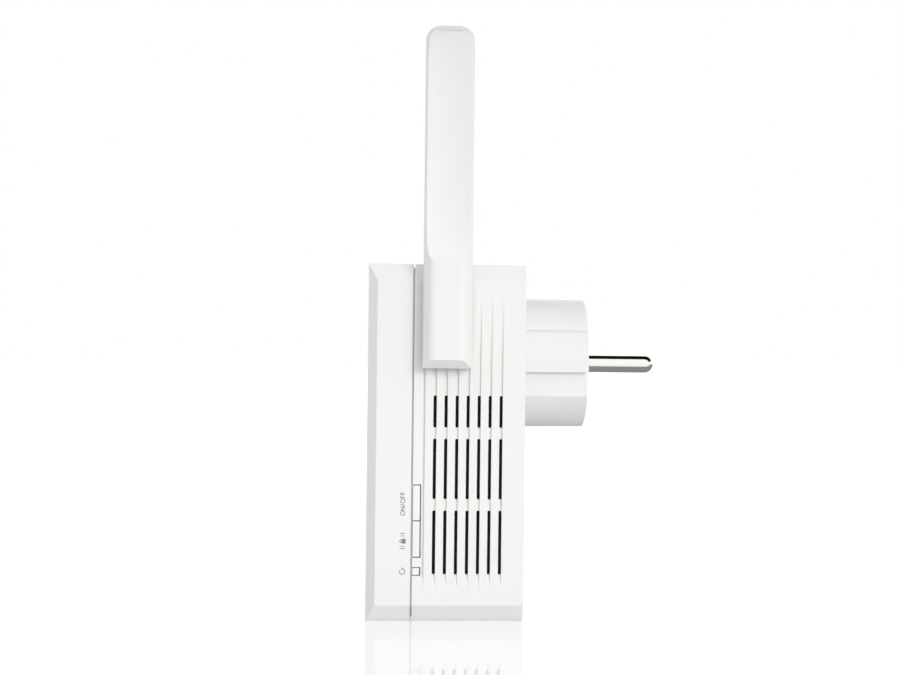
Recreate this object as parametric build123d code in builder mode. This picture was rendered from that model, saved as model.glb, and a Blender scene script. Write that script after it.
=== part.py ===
"""Plug-in wifi range extender with a pass-through socket and two folding antennas.

Millimetres. The origin is where the plug's axis meets the wall face. +Z is up, +Y points
into the wall outlet, the front faces -Y, and the push buttons are on the +X side.
"""
import os
from math import atan, degrees

from build123d import *

os.makedirs("parts", exist_ok=True)

# ---------------------------------------------------------------- driving dimensions
# Housing
body_width = 66.0
body_height = 94.3
body_depth = 41.6
plug_axis_below_top = 26.0
cover_depth = 12.0            # front face to the parting line
wall = 2.0
side_bevel = 2.8              # across X, on all three bevels of a side
end_bevel = 4.5               # along Z, at the top and the bottom
front_bevel = 2.5             # along Y, at the front
housing_edge_radius = 0.35
parting_gap = 0.5
lip_depth = 2.5
lip_inset = 1.1
fit_gap = 0.1                 # between pieces that are fixed together
seat_gap = 0.05               # between flat faces that slide on each other

# Vents: as many grooves as fit on each side, all but the front one cut through
groove_pitch = 2.9
groove_width = 0.85
front_groove_width = 0.6       # beside the buttons
groove_depth = 0.7
groove_start = 2.95           # parting line to the first groove
groove_rear_margin = 6.0      # at least, from the last groove to the rear face
slot_top = -8.6               # upper end of the first row of slots
slot_lengths = (8.5, 16.0, 16.9)
slot_bridge = 2.9
fade_length = 17.5            # the grooves run out over this length at the top
fade_start = 9.0              # above the slots
tail_length = 3.6             # and over this length below the slots
screen_thickness = 0.4
screen_margin = 2.2

# Plug
plug_radius = 18.5
plug_length = 18.6
plug_draft = 0.6              # degrees
plug_clearance = 0.15
plug_edge_radius = 0.6
plug_flange = 2.5              # length, inside the rear wall
plug_flange_reach = 3.0       # beyond the plug's own radius
plug_end_wall = 4.0
plug_side_wall = 2.0          # flat to the hollow
plug_flat_depth = 3.1
plug_flat_half_height = 9.1
plug_rib_height = 2.6         # above the flat
plug_rib_half_height = 2.4
pin_radius = 2.4
pin_length = 19.0
pin_spacing = 19.0
pin_shank_radius = 2.0        # inside the plug
pin_shank_reach = 0.2         # out of the plug's face
pin_sleeve = 1.8              # wall round a shank
earth_hole_radius = 2.5
earth_hole_offset = 10.0
earth_tube_wall = 0.7
earth_strip_width = 6.0
earth_strip_thickness = 1.0
earth_groove_depth = 2.1      # from the plug's radius

# Pass-through socket
socket_below_plug = 32.0
recess_radius = 19.4
recess_depth = 17.5
collar_wall = 2.0
collar_flange = 2.0
collar_flange_thickness = 1.5
socket_floor = 2.4
pin_entry_gap = 0.4           # round a pin, in the recess's floor
contact_wall = 1.1
contact_slit = 0.8
guide_rib_width = 4.6
guide_rib_reach = 2.1
base_inset = 0.8              # recess's radius to the base's sides
base_rise = 2.8               # shutter's pocket to the base's top and bottom
base_board_gap = 1.4          # base's rear to the power board
shutter_cover = 0.6           # reach beyond the pins' entries, above and below
shutter_side_cover = 0.9
shutter_thickness = 2.2
shutter_open_gap = 0.2        # open shutter to the pins' entries
shutter_clearance = 0.3
shutter_end_gap = 0.4
spring_radius = 0.75
spring_wire = 0.15
spring_pitch = 1.5
spring_hole_gap = 0.1
spring_hole_depth = 4.0
socket_screw_inset = 3.6      # recess's radius to the screws' axes
socket_screw_seat = 3.0
strap_width = 5.0
strap_thickness = 0.8
strap_inset = 3.2             # recess's radius to the strap
strap_setback = 5.6           # front face to the strap's ends

# Boards
board_thickness = 1.6
post_radius = 2.2
main_board_margin = 4.0       # to the side walls
main_board_below_top = 9.3
main_board_height = 22.5
main_board_gap = 6.0          # front wall to board
main_post_inset = 3.0
power_board_width = 28.5
power_board_height = 40.0
power_board_margin = 6.5      # to the side wall
power_board_above_bottom = 3.5
power_board_gap = 4.0         # rear wall to board
power_screws = (9.0, 19.5)    # from the board's left edge
power_screw_drop = 2.2
power_rests = (2.5, 25.5)
power_rest_rise = 3.0
port_board_half_width = 11.8
port_board_height = 11.5
port_board_overhang = 0.2     # above the jack
port_post_spacing = 20.0
port_post_radius = 1.6
port_post_rise = 2.0
button_board_inset = 8.0      # side wall to the board
button_board_thickness = 1.2
button_board_reach = 3.6      # into the front cover

# Parts on the boards
shield_inset = (5.5, 3.0)     # from the main board's left and lower edges
shield_width = 19.0
shield_rise = 16.0
shield_height = 3.0
shield_wall = 0.4
chip_x = 10.0
chip_drop = 11.5              # main board's top edge to the chip's middle
chip_size = 12.0
chip_height = 1.4
sink_size = 16.0
sink_height = 8.0
sink_fin_pitch = 2.6
sink_fin_count = 6
led_half = 0.8
led_height = 0.8
pipe_gap = 1.7
pipe_thickness = 1.5
transformer_inset = (6.5, 2.5)  # from the power board's left and lower edges
transformer_width = 13.6
transformer_gap = 0.5         # to the socket's floor
transformer_rise = 13.0
transformer_edge_radius = 1.0
bobbin_setback = 2.5
bobbin_reach = 1.0
input_capacitor_inset = 1.7   # from the power board's right edge
input_capacitor_rise = 17.5
input_capacitor_radius = 3.9
input_capacitor_gap = 0.7     # to the rectifier
capacitor_edge_radius = 0.6
round_part_inset = 3.9        # from the power board's right edge
output_capacitor_rise = 4.0
output_capacitor_radius = 3.5
output_capacitor_length = 12.0
choke_rise = 11.4
choke_radius = 3.2
choke_height = 6.0
fuse_inset = 2.1              # from the power board's left edge
fuse_rise = 0.5
fuse_radius = 1.7
fuse_length = 7.5
varistor_radius = 2.9
varistor_thickness = 2.8
varistor_gap = 0.5            # above the fuse
rectifier_width = 4.8
rectifier_length = 3.4
rectifier_inset = 0.4
rectifier_height = 2.2

# Ethernet jack
jack_x = -16.0
jack_width = 16.0
jack_height = 13.5
jack_length = 20.5
jack_floor_gap = 0.3          # socket's floor to the jack's board
jack_inset = 0.3
port_width = 11.8
port_height = 8.0
port_depth = 13.0
port_wall = 1.0
wire_pitch = 1.02
wire_size = 0.45

# Buttons
button_row_top = -32.0
power_button_length = 9.6
pair_button_length = 9.7
reset_button_below = 2.4      # lower end of the pair button to the reset button
reset_button_length = 2.35
button_slot = 2.2             # housing's front edge to the back of the opening
button_gap = 0.3
button_split = 0.25
button_proud = 0.15
button_flange = 0.8
button_bracket_depth = 4.0
button_bracket_height = 1.6
button_bracket_drop = 2.6     # top of the buttons to the upper bracket
button_bracket_gap = 0.35     # housing's front edge to the brackets
stem_radius = 0.9
stem_overlap = 0.4            # stem's reach into its switch
switch_height = 3.2
switch_width = 4.4
switch_length = 5.2
switch_floor = 0.6
button_edge_radius = 0.2

# Antennas
antenna_width = 12.7
antenna_length = 74.9         # pivot to tip
antenna_block = 13.7          # pivot to the block's end
antenna_gap = 0.8
antenna_side = 5.4            # thickness of the sides
antenna_bevel_depth = 2.8
antenna_bevel = 2.2
antenna_tip_radius = 4.0
antenna_foot_radius = 0.9
antenna_edge_radius = 2.4      # along the block and round the tip
antenna_side_edge_radius = 1.2  # between the bevel and the sides
antenna_wall = 1.5
antenna_hollow = 3.2
antenna_lid = 1.2
scoop_rim = 1.6
scoop_depth = 1.45            # at the sides
scoop_dish = 1.15             # beyond that, in the middle
scoop_run_in = 19.0           # length of the curved stretch at each end
scoop_overrun = 1.2           # of the run-in, so that it ends level
scoop_edge_sharpness = 7.6
scoop_dish_sharpness = 3.8
scoop_tip_rise = 0.2
hub_radius = 4.0
hub_clearance = 0.05
hub_bore = 1.5
hub_boss_radius = 7.0
hub_boss = 2.0
hub_overrun = 1.0             # clip to the hub's end
hub_groove = 0.8
washer_thickness = 0.5
clip_thickness = 1.0
clip_radius = 6.3
radiator_width = 8.0
radiator_length = 50.0
radiator_slot = 3.0
radiator_thickness = 0.8
radiator_gap = 2.0            # above the block
cable_radius = 0.6
cable_bend = 2.0

# Screws and lights
top_screw_inset = (13.0, 5.3) # side and top faces to the top pair's axes
bottom_screw_inset = (5.0, 6.0)
case_post_radius = 2.9
case_access_radius = 2.3
case_head_radius = 2.1
case_head = 1.6
case_shank_radius = 1.1
case_shank = 10.0
case_seat_depth = 24.0        # wall face to the screw heads' seat
case_seat = 2.0
board_head_radius = 1.9
board_head = 1.2
board_shank_radius = 0.9
board_shank = 4.0
light_count = 5
light_spacing = 6.0
light_radius = 0.9
light_drop = 9.5              # main board's top edge to the lights

# ---------------------------------------------------------------- dependent sizes
half_width = body_width / 2
body_top = plug_axis_below_top
body_bottom = body_top - body_height
front_y = -body_depth
parting_y = front_y + cover_depth
housing_front = parting_y + parting_gap / 2
cover_rear = parting_y - parting_gap / 2
mid_y = -body_depth / 2
inner_x = half_width - wall
inner_front = front_y + wall
pin_x = pin_spacing / 2

first_groove_y = parting_y + groove_start
groove_count = 1 + int((body_depth - groove_rear_margin - (cover_depth + groove_start)) / groove_pitch)
groove_ys = [first_groove_y + i * groove_pitch for i in range(groove_count)]
groove_widths = [front_groove_width] + [groove_width] * (groove_count - 1)
slot_rows = []
row_top = slot_top
for length in slot_lengths:
    slot_rows.append((row_top, row_top - length))
    row_top = row_top - length - slot_bridge
slot_bottom = slot_rows[-1][1]

socket_z = -socket_below_plug
collar_radius = recess_radius + collar_wall
contact_hole_radius = pin_radius + pin_entry_gap
contact_outer_radius = pin_radius + contact_wall
socket_screw_x = recess_radius - socket_screw_inset
strap_z = recess_radius - strap_inset
shutter_half_width = pin_x + contact_hole_radius + shutter_side_cover
shutter_height = 2 * (contact_hole_radius + shutter_cover)
shutter_travel = contact_hole_radius + shutter_height / 2 + shutter_open_gap
base_half_width = recess_radius - base_inset
floor_front = front_y + recess_depth
floor_rear = floor_front + socket_floor
power_board_rear = -wall - power_board_gap
power_board_front = power_board_rear - board_thickness
base_rear = power_board_front - base_board_gap
base_depth = base_rear - floor_rear
bar_rear = base_rear + strap_thickness
earth_bar_rear = bar_rear + strap_thickness

main_board_width = 2 * (inner_x - main_board_margin)
main_board_top = body_top - main_board_below_top
main_board_bottom = main_board_top - main_board_height
main_board_front = inner_front + main_board_gap
main_board_rear = main_board_front + board_thickness
power_board_right = inner_x - power_board_margin
power_board_left = power_board_right - power_board_width
power_board_bottom = body_bottom + power_board_above_bottom
power_board_top = power_board_bottom + power_board_height
round_part_x = power_board_right - round_part_inset
fuse_x = power_board_left + fuse_inset
transformer_height = power_board_front - floor_rear - transformer_gap
jack_front = floor_rear + jack_floor_gap + board_thickness
jack_rear = jack_front + jack_height
jack_bottom = body_bottom + jack_inset
jack_top = jack_bottom + jack_length

antenna_z = body_top - antenna_block
antenna_inner = half_width + antenna_gap
antenna_side_x = antenna_inner + antenna_side
antenna_face = antenna_side_x + antenna_bevel_depth
hub_boss_x = inner_x - hub_boss

fade_bottom = slot_top + fade_start
fade_top = fade_bottom + fade_length
groove_bottom = slot_bottom - tail_length
screen_edge = groove_width / 2 + fit_gap
inner_depth = body_depth - wall

plug_flat_x = plug_radius - plug_flat_depth
plug_rib_x = plug_flat_x + plug_rib_height
plug_hollow_radius = plug_flat_x - plug_side_wall
plug_flange_radius = plug_radius + plug_flange_reach
earth_groove_z = plug_radius - earth_groove_depth

button_row_length = power_button_length + pair_button_length
pair_bottom = button_row_top - button_row_length
reset_top = pair_bottom - reset_button_below
reset_bottom = reset_top - reset_button_length
button_openings = ((button_row_top, pair_bottom), (reset_top, reset_bottom))
button_board_x = inner_x - button_board_inset
button_board_outer = button_board_x + button_board_thickness
button_bracket_front = housing_front + button_bracket_gap
button_board_front = housing_front - button_board_reach
button_bracket_zs = (
    button_row_top + button_bracket_drop,
    (reset_top + reset_bottom - switch_length - button_bracket_height) / 2 - 2 * fit_gap,
)

shutter_bottom = socket_z - shutter_height / 2
shutter_front = floor_rear + seat_gap * 3
shutter_pocket_bottom = shutter_bottom - seat_gap
shutter_pocket_top = shutter_bottom + shutter_height + shutter_travel + shutter_end_gap
base_half_height = shutter_pocket_top - socket_z + base_rise
shutter_pocket_rear = shutter_front + shutter_thickness + seat_gap * 5
spring_y = shutter_front + shutter_thickness / 2
spring_hole_radius = spring_radius + spring_hole_gap
spring_bottom = shutter_bottom + shutter_height - spring_hole_depth
spring_length = shutter_pocket_top - spring_bottom

scoop_length = antenna_length - antenna_block - scoop_rim
scoop_steps = (0, 0.065, 0.13, 0.24, 0.4, 0.66, 0.85, 1, scoop_overrun)
scoop_stations = [scoop_run_in * step for step in scoop_steps]
clip_x = hub_boss_x - washer_thickness - clip_thickness - seat_gap
hub_end = clip_x - hub_overrun
radiator_bottom = antenna_z + antenna_block + radiator_gap
cable_x = antenna_inner + antenna_lid + 2 * cable_radius

port_board_front = jack_front - board_thickness
port_board_left = jack_x - port_board_half_width
port_board_right = jack_x + port_board_half_width
port_board_top = jack_top + port_board_overhang
port_board_bottom = port_board_top - port_board_height
port_rear = jack_rear - port_wall
stem_tip = button_board_outer + switch_height - stem_overlap
cap_y = housing_front + (button_slot - button_gap + seat_gap) / 2
power_pair_split = button_row_top - power_button_length
button_caps = (
    # Name, top and bottom of the cap, reach of its flange above and below
    ("power", button_row_top - button_gap, power_pair_split + button_split / 2,
     button_gap + button_flange, -seat_gap),
    ("pair", power_pair_split - button_split / 2, pair_bottom + button_gap,
     -seat_gap, button_gap + button_flange),
    ("reset", reset_top - button_split, reset_bottom + button_split,
     button_split + button_flange, button_split + button_flange),
)

light_z = main_board_top - light_drop
light_places = [
    ((i - (light_count - 1) / 2) * light_spacing, light_z) for i in range(light_count)
]


def depth_plane(y):
    """Plane facing the front at depth y, with X to the right and Z up."""
    return Plane.XZ.offset(-y)


def box_between(low, high, mode=Mode.ADD):
    """Box from its lowest to its highest corner."""
    centre = tuple((a + b) / 2 for a, b in zip(low, high))
    size = tuple(b - a for a, b in zip(low, high))
    with Locations(centre):
        Box(*size, mode=mode)


# ---------------------------------------------------------------- housing
def front_outline(inset):
    """Housing seen from the front: a rectangle with bevelled corners, inset all round."""
    corner_x = half_width - side_bevel
    with BuildSketch(Plane.XZ) as outline:
        Polygon(
            (-half_width, body_bottom + end_bevel),
            (-corner_x, body_bottom),
            (corner_x, body_bottom),
            (half_width, body_bottom + end_bevel),
            (half_width, body_top - end_bevel),
            (corner_x, body_top),
            (-corner_x, body_top),
            (-half_width, body_top - end_bevel),
            align=None,
        )
        if inset:
            offset(amount=-inset, kind=Kind.INTERSECTION)
    return outline.sketch


def plan_outline(inset):
    """Housing seen from above, with its bevelled front corners, inset all round."""
    corner_x = half_width - side_bevel
    with BuildSketch(Plane.XY.offset(body_bottom)) as outline:
        Polygon(
            (-half_width, 0),
            (-half_width, front_y + front_bevel),
            (-corner_x, front_y),
            (corner_x, front_y),
            (half_width, front_y + front_bevel),
            (half_width, 0),
            align=None,
        )
        if inset:
            offset(amount=-inset, kind=Kind.INTERSECTION)
    return outline.sketch


def housing_block(inset, rear, front):
    """Solid of the housing's form, inset all round, kept between two depths."""
    with BuildPart() as block:
        extrude(front_outline(inset), amount=body_depth)
        extrude(plan_outline(inset), amount=body_height, mode=Mode.INTERSECT)
        if not inset:
            fillet(block.edges(), housing_edge_radius)
        box_between(
            (-half_width, front, body_bottom), (half_width, rear, body_top), mode=Mode.INTERSECT
        )
    return block.part


def case_screw_places():
    """The four case screws, as X and Z."""
    top_x = half_width - top_screw_inset[0]
    top_z = body_top - top_screw_inset[1]
    low_x = half_width - bottom_screw_inset[0]
    low_z = body_bottom + bottom_screw_inset[1]
    return [(-top_x, top_z), (top_x, top_z), (-low_x, low_z), (low_x, low_z)]


main_post_places = [
    (side * (main_board_width / 2 - main_post_inset), z)
    for side in (-1, 1)
    for z in (main_board_top - main_post_inset, main_board_bottom + main_post_inset)
]
power_screw_places = [
    (power_board_left + x, power_board_top - power_screw_drop) for x in power_screws
]
power_rest_places = [
    (power_board_left + x, power_board_bottom + power_rest_rise) for x in power_rests
]
port_post_places = [
    (jack_x + side * port_post_spacing / 2, port_board_bottom + port_post_rise)
    for side in (-1, 1)
]


def groove_fade(side, width, start, end):
    """Wedge that runs a groove out of the side's surface, from start to end along Z."""
    with BuildSketch(Plane.XZ) as profile:
        Polygon(
            (side * half_width, end),
            (side * (half_width - groove_depth), start),
            (side * half_width, start),
            align=None,
        )
    return extrude(profile.sketch, amount=width / 2, both=True, mode=Mode.PRIVATE)


with BuildPart() as rear_housing:
    add(housing_block(0, 0, housing_front))
    add(housing_block(wall, 0, housing_front), mode=Mode.SUBTRACT)
    # Lip that closes the parting gap from inside
    lip_root = housing_front + lip_depth / 2
    add(housing_block(lip_inset, lip_root, parting_y - lip_depth))
    add(housing_block(wall, lip_root, parting_y - lip_depth), mode=Mode.SUBTRACT)
    # Bosses that the antennas turn in, grooves and slots, on both sides
    for side in (-1, 1):
        surface = Plane.YZ.offset(side * half_width)
        with BuildSketch(Plane.YZ.offset(side * inner_x)):
            with Locations((mid_y, antenna_z)):
                Circle(hub_boss_radius)
        extrude(amount=-side * hub_boss)
        with BuildSketch(surface):
            for y, width in zip(groove_ys, groove_widths):
                with Locations((y, (fade_bottom + slot_bottom) / 2)):
                    Rectangle(width, fade_bottom - slot_bottom)
        extrude(amount=-side * groove_depth, mode=Mode.SUBTRACT)
        for y, width in zip(groove_ys, groove_widths):
            with Locations((0, y, 0)):
                add(groove_fade(side, width, fade_bottom, fade_top), mode=Mode.SUBTRACT)
                add(groove_fade(side, width, slot_bottom, groove_bottom), mode=Mode.SUBTRACT)
        with BuildSketch(surface):
            for y in groove_ys[1:]:
                for top, bottom in slot_rows:
                    with Locations((y, (top + bottom) / 2)):
                        SlotOverall(top - bottom, groove_width, rotation=90)
        extrude(amount=-side * (wall + 0.1), mode=Mode.SUBTRACT)
        with BuildSketch(surface):
            with Locations((mid_y, antenna_z)):
                Circle(hub_radius + hub_clearance)
        extrude(amount=-side * (wall + hub_boss + 1.0), mode=Mode.SUBTRACT)
    # Opening that the plug stands out of
    with BuildSketch(Plane.XZ):
        Circle(plug_radius + plug_clearance)
    extrude(amount=wall, mode=Mode.SUBTRACT)
    # Posts for the case screws, which go in from the wall face
    with BuildSketch(depth_plane(-wall)):
        with Locations(*case_screw_places()):
            Circle(case_post_radius)
    extrude(amount=case_seat_depth + case_seat - wall)
    with BuildSketch(Plane.XZ):
        with Locations(*case_screw_places()):
            Circle(case_access_radius)
    extrude(amount=case_seat_depth, mode=Mode.SUBTRACT)
    with BuildSketch(depth_plane(-case_seat_depth)):
        with Locations(*case_screw_places()):
            Circle(case_shank_radius + fit_gap)
    extrude(amount=case_seat, mode=Mode.SUBTRACT)
    # Posts for the power board and the port board
    with BuildSketch(depth_plane(-wall)):
        with Locations(*power_screw_places, *power_rest_places):
            Circle(post_radius)
    extrude(amount=power_board_gap)
    with BuildSketch(depth_plane(power_board_rear)):
        with Locations(*power_screw_places):
            Circle(board_shank_radius)
    extrude(amount=-(board_shank - board_thickness), mode=Mode.SUBTRACT)
    with BuildSketch(depth_plane(-wall)):
        with Locations(*port_post_places):
            Circle(port_post_radius)
    extrude(amount=-wall - jack_front)
    with BuildSketch(depth_plane(jack_front)):
        with Locations(*port_post_places):
            Circle(board_shank_radius)
    extrude(amount=-(board_shank - board_thickness), mode=Mode.SUBTRACT)
    # Mouth of the Ethernet jack
    box_between(
        (jack_x - jack_width / 2 - fit_gap, jack_front - fit_gap, body_bottom),
        (jack_x + jack_width / 2 + fit_gap, jack_rear + fit_gap, body_bottom + wall),
        mode=Mode.SUBTRACT,
    )
    # Openings for the buttons, behind the lip
    for top, bottom in button_openings:
        box_between(
            (inner_x, housing_front, bottom),
            (half_width, housing_front + button_slot, top),
            mode=Mode.SUBTRACT,
        )
    # Brackets that carry the button board
    for z in button_bracket_zs:
        box_between(
            (button_board_outer, button_bracket_front, z - button_bracket_height / 2),
            (inner_x, button_bracket_front + button_bracket_depth, z + button_bracket_height / 2),
        )
rear_housing.part.label = "rear_housing"
export_step(rear_housing.part, "parts/rear_housing.step")

with BuildPart() as front_cover:
    add(housing_block(0, cover_rear, front_y))
    add(housing_block(wall, cover_rear, front_y), mode=Mode.SUBTRACT)
    # Bosses for the case screws and posts for the main board
    with BuildSketch(depth_plane(-case_seat_depth - case_seat)):
        with Locations(*case_screw_places()):
            Circle(case_post_radius)
    extrude(amount=inner_depth - case_seat_depth - case_seat)
    with BuildSketch(depth_plane(-case_seat_depth - case_seat)):
        with Locations(*case_screw_places()):
            Circle(case_shank_radius)
    extrude(amount=case_shank - case_seat + 0.5, mode=Mode.SUBTRACT)
    with BuildSketch(depth_plane(main_board_front)):
        with Locations(*main_post_places):
            Circle(post_radius)
    extrude(amount=main_board_gap)
    with BuildSketch(depth_plane(main_board_front)):
        with Locations(*main_post_places):
            Circle(board_shank_radius)
    extrude(amount=board_shank - board_thickness, mode=Mode.SUBTRACT)
    # Rebate that takes the rear housing's lip
    rebate_front = parting_y - lip_depth - fit_gap
    add(housing_block(lip_inset - fit_gap, cover_rear, rebate_front)
        - housing_block(wall, cover_rear, rebate_front), mode=Mode.SUBTRACT)
    # Hole for the socket's collar and for the light pipe
    with BuildSketch(depth_plane(inner_front)):
        with Locations((0, socket_z)):
            Circle(collar_radius + fit_gap)
        with Locations(*light_places):
            Circle(light_radius)
    extrude(amount=wall, mode=Mode.SUBTRACT)
front_cover.part.label = "front_cover"
export_step(front_cover.part, "parts/front_cover.step")

with BuildPart() as case_screws:
    with BuildSketch(depth_plane(-case_seat_depth)):
        with Locations(*case_screw_places()):
            Circle(case_head_radius)
    extrude(amount=-case_head)
    with BuildSketch(depth_plane(-case_seat_depth)):
        with Locations(*case_screw_places()):
            Circle(case_shank_radius)
    extrude(amount=case_shank)
    with BuildSketch(depth_plane(case_head - case_seat_depth)):
        with Locations(*case_screw_places()):
            RegularPolygon(case_head_radius / 2, 6)
    extrude(amount=case_head / 2, mode=Mode.SUBTRACT)
case_screws.part.label = "case_screws"
export_step(case_screws.part, "parts/case_screws.step")

for side, side_name in ((-1, "left"), (1, "right")):
    with BuildPart() as vent_screen:
        box_between(
            (min(side * inner_x, side * (inner_x - screen_thickness)),
             groove_ys[1] - screen_edge, slot_bottom - screen_margin),
            (max(side * inner_x, side * (inner_x - screen_thickness)),
             groove_ys[-1] + screen_margin, slot_top + screen_margin),
        )
    vent_screen.part.label = f"vent_screen_{side_name}"
    export_step(vent_screen.part, f"parts/vent_screen_{side_name}.step")

# ---------------------------------------------------------------- plug
with BuildPart() as plug_body:
    with BuildSketch(Plane.XZ):
        Circle(plug_radius)
    extrude(amount=-plug_length, taper=plug_draft)
    # Flats on both sides, each with a raised rib along its middle
    for side in (-1, 1):
        box_between(
            (min(side * plug_flat_x, side * plug_radius), 0, -plug_flat_half_height),
            (max(side * plug_flat_x, side * plug_radius), plug_length, plug_flat_half_height),
            mode=Mode.SUBTRACT,
        )
    for side in (-1, 1):
        box_between(
            (min(side * (plug_flat_x - 1), side * plug_rib_x), 0, -plug_rib_half_height),
            (max(side * (plug_flat_x - 1), side * plug_rib_x), plug_length, plug_rib_half_height),
        )
    fillet(plug_body.faces().sort_by(Axis.Y)[-1].edges(), plug_edge_radius)
    # Flange inside the rear wall
    with BuildSketch(Plane.XZ):
        Circle(plug_radius)
    extrude(amount=wall)
    with BuildSketch(depth_plane(-wall)):
        Circle(plug_flange_radius)
    extrude(amount=plug_flange)
    # Hollow, with a sleeve round each pin and one for the earth tube
    with BuildSketch(depth_plane(plug_length - plug_end_wall)):
        Circle(plug_hollow_radius)
    extrude(amount=plug_length - plug_end_wall + wall + plug_flange, mode=Mode.SUBTRACT)
    with BuildSketch(depth_plane(plug_length - plug_end_wall)):
        with Locations((-pin_x, 0), (pin_x, 0)):
            Circle(pin_shank_radius + pin_sleeve)
    extrude(amount=plug_length - plug_end_wall + wall)
    with BuildSketch(depth_plane(plug_length)):
        with Locations((-pin_x, 0), (pin_x, 0)):
            Circle(pin_shank_radius)
    extrude(amount=plug_length + wall, mode=Mode.SUBTRACT)
    # Earth entry, and the grooves of the two earth strips
    with BuildSketch(depth_plane(plug_length)):
        with Locations((0, earth_hole_offset)):
            Circle(earth_hole_radius)
    extrude(amount=plug_end_wall, mode=Mode.SUBTRACT)
    with BuildSketch(depth_plane(plug_length - plug_end_wall / 2)):
        with Locations((0, earth_hole_offset)):
            Circle(earth_hole_radius + earth_tube_wall)
    extrude(amount=plug_end_wall / 2, mode=Mode.SUBTRACT)
    for low, high in ((earth_groove_z, plug_flange_radius), (-plug_flange_radius, -earth_groove_z)):
        box_between(
            (-earth_strip_width / 2 - fit_gap, -wall - plug_flange, low),
            (earth_strip_width / 2 + fit_gap, plug_length, high),
            mode=Mode.SUBTRACT,
        )
plug_body.part.label = "plug_body"
export_step(plug_body.part, "parts/plug_body.step")

for x, side_name in ((-pin_x, "left"), (pin_x, "right")):
    with BuildPart() as plug_pin:
        with BuildSketch(depth_plane(bar_rear)):
            with Locations((x, 0)):
                Circle(pin_shank_radius)
        extrude(amount=-(plug_length + pin_shank_reach - bar_rear))
        with BuildSketch(depth_plane(plug_length + pin_shank_reach)):
            with Locations((x, 0)):
                Circle(pin_radius)
        extrude(amount=pin_shank_reach - pin_length)
        fillet(plug_pin.faces().sort_by(Axis.Y)[-1].edges(), pin_radius * 0.98)
    plug_pin.part.label = f"plug_pin_{side_name}"
    export_step(plug_pin.part, f"parts/plug_pin_{side_name}.step")

for low, end_name in ((earth_groove_z, "top"),
                      (-earth_groove_z - earth_strip_thickness, "bottom")):
    with BuildPart() as plug_earth_strip:
        box_between(
            (-earth_strip_width / 2, earth_bar_rear, low),
            (earth_strip_width / 2, plug_length - earth_strip_thickness,
             low + earth_strip_thickness),
        )
    plug_earth_strip.part.label = f"plug_earth_strip_{end_name}"
    export_step(plug_earth_strip.part, f"parts/plug_earth_strip_{end_name}.step")

with BuildPart() as plug_earth_tube:
    with BuildSketch(depth_plane(plug_length - plug_end_wall / 2)):
        with Locations((0, earth_hole_offset)):
            Circle(earth_hole_radius + earth_tube_wall)
            Circle(earth_hole_radius, mode=Mode.SUBTRACT)
    extrude(amount=plug_length - plug_end_wall / 2 - earth_bar_rear)
plug_earth_tube.part.label = "plug_earth_tube"
export_step(plug_earth_tube.part, "parts/plug_earth_tube.step")

# ---------------------------------------------------------------- pass-through socket
with BuildPart() as socket_insert:
    with BuildSketch(depth_plane(front_y)):
        with Locations((0, socket_z)):
            Circle(collar_radius)
    extrude(amount=-(recess_depth + socket_floor))
    with BuildSketch(depth_plane(inner_front)):
        with Locations((0, socket_z)):
            Circle(collar_radius + collar_flange)
    extrude(amount=-collar_flange_thickness)
    with BuildSketch(depth_plane(front_y)):
        with Locations((0, socket_z)):
            Circle(recess_radius)
    extrude(amount=-recess_depth, mode=Mode.SUBTRACT)
    # Guide ribs at both sides of the recess
    for side in (-1, 1):
        box_between(
            (min(side * (recess_radius - guide_rib_reach), side * (recess_radius + 0.5)),
             front_y + collar_wall, socket_z - guide_rib_width / 2),
            (max(side * (recess_radius - guide_rib_reach), side * (recess_radius + 0.5)),
             floor_front, socket_z + guide_rib_width / 2),
        )
    # Entries for the pins, slots for the earth strap, holes for the base's screws
    with BuildSketch(depth_plane(floor_rear)):
        with Locations((-pin_x, socket_z), (pin_x, socket_z)):
            Circle(contact_hole_radius)
        for side in (-1, 1):
            with Locations((0, socket_z + side * (strap_z + strap_thickness / 2))):
                Rectangle(strap_width + 2 * fit_gap, strap_thickness + 2 * fit_gap)
    extrude(amount=socket_floor, mode=Mode.SUBTRACT)
    with BuildSketch(depth_plane(floor_rear)):
        with Locations((-socket_screw_x, socket_z), (socket_screw_x, socket_z)):
            Circle(board_shank_radius)
    extrude(amount=socket_floor * 0.8, mode=Mode.SUBTRACT)
socket_insert.part.label = "socket_insert"
export_step(socket_insert.part, "parts/socket_insert.step")

with BuildPart() as socket_base:
    box_between(
        (-base_half_width, floor_rear, socket_z - base_half_height),
        (base_half_width, base_rear, socket_z + base_half_height),
    )
    # Pocket that the shutter slides in
    box_between(
        (-shutter_half_width - shutter_clearance, floor_rear, shutter_pocket_bottom),
        (shutter_half_width + shutter_clearance, shutter_pocket_rear, shutter_pocket_top),
        mode=Mode.SUBTRACT,
    )
    with BuildSketch(depth_plane(base_rear)):
        with Locations((-pin_x, socket_z), (pin_x, socket_z)):
            Circle(contact_outer_radius)
        with Locations((-socket_screw_x, socket_z), (socket_screw_x, socket_z)):
            Circle(board_shank_radius + fit_gap)
    extrude(amount=base_depth, mode=Mode.SUBTRACT)
    with BuildSketch(depth_plane(base_rear)):
        with Locations((-socket_screw_x, socket_z), (socket_screw_x, socket_z)):
            Circle(board_head_radius + fit_gap)
    extrude(amount=base_depth - socket_screw_seat, mode=Mode.SUBTRACT)
socket_base.part.label = "socket_base"
export_step(socket_base.part, "parts/socket_base.step")

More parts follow.
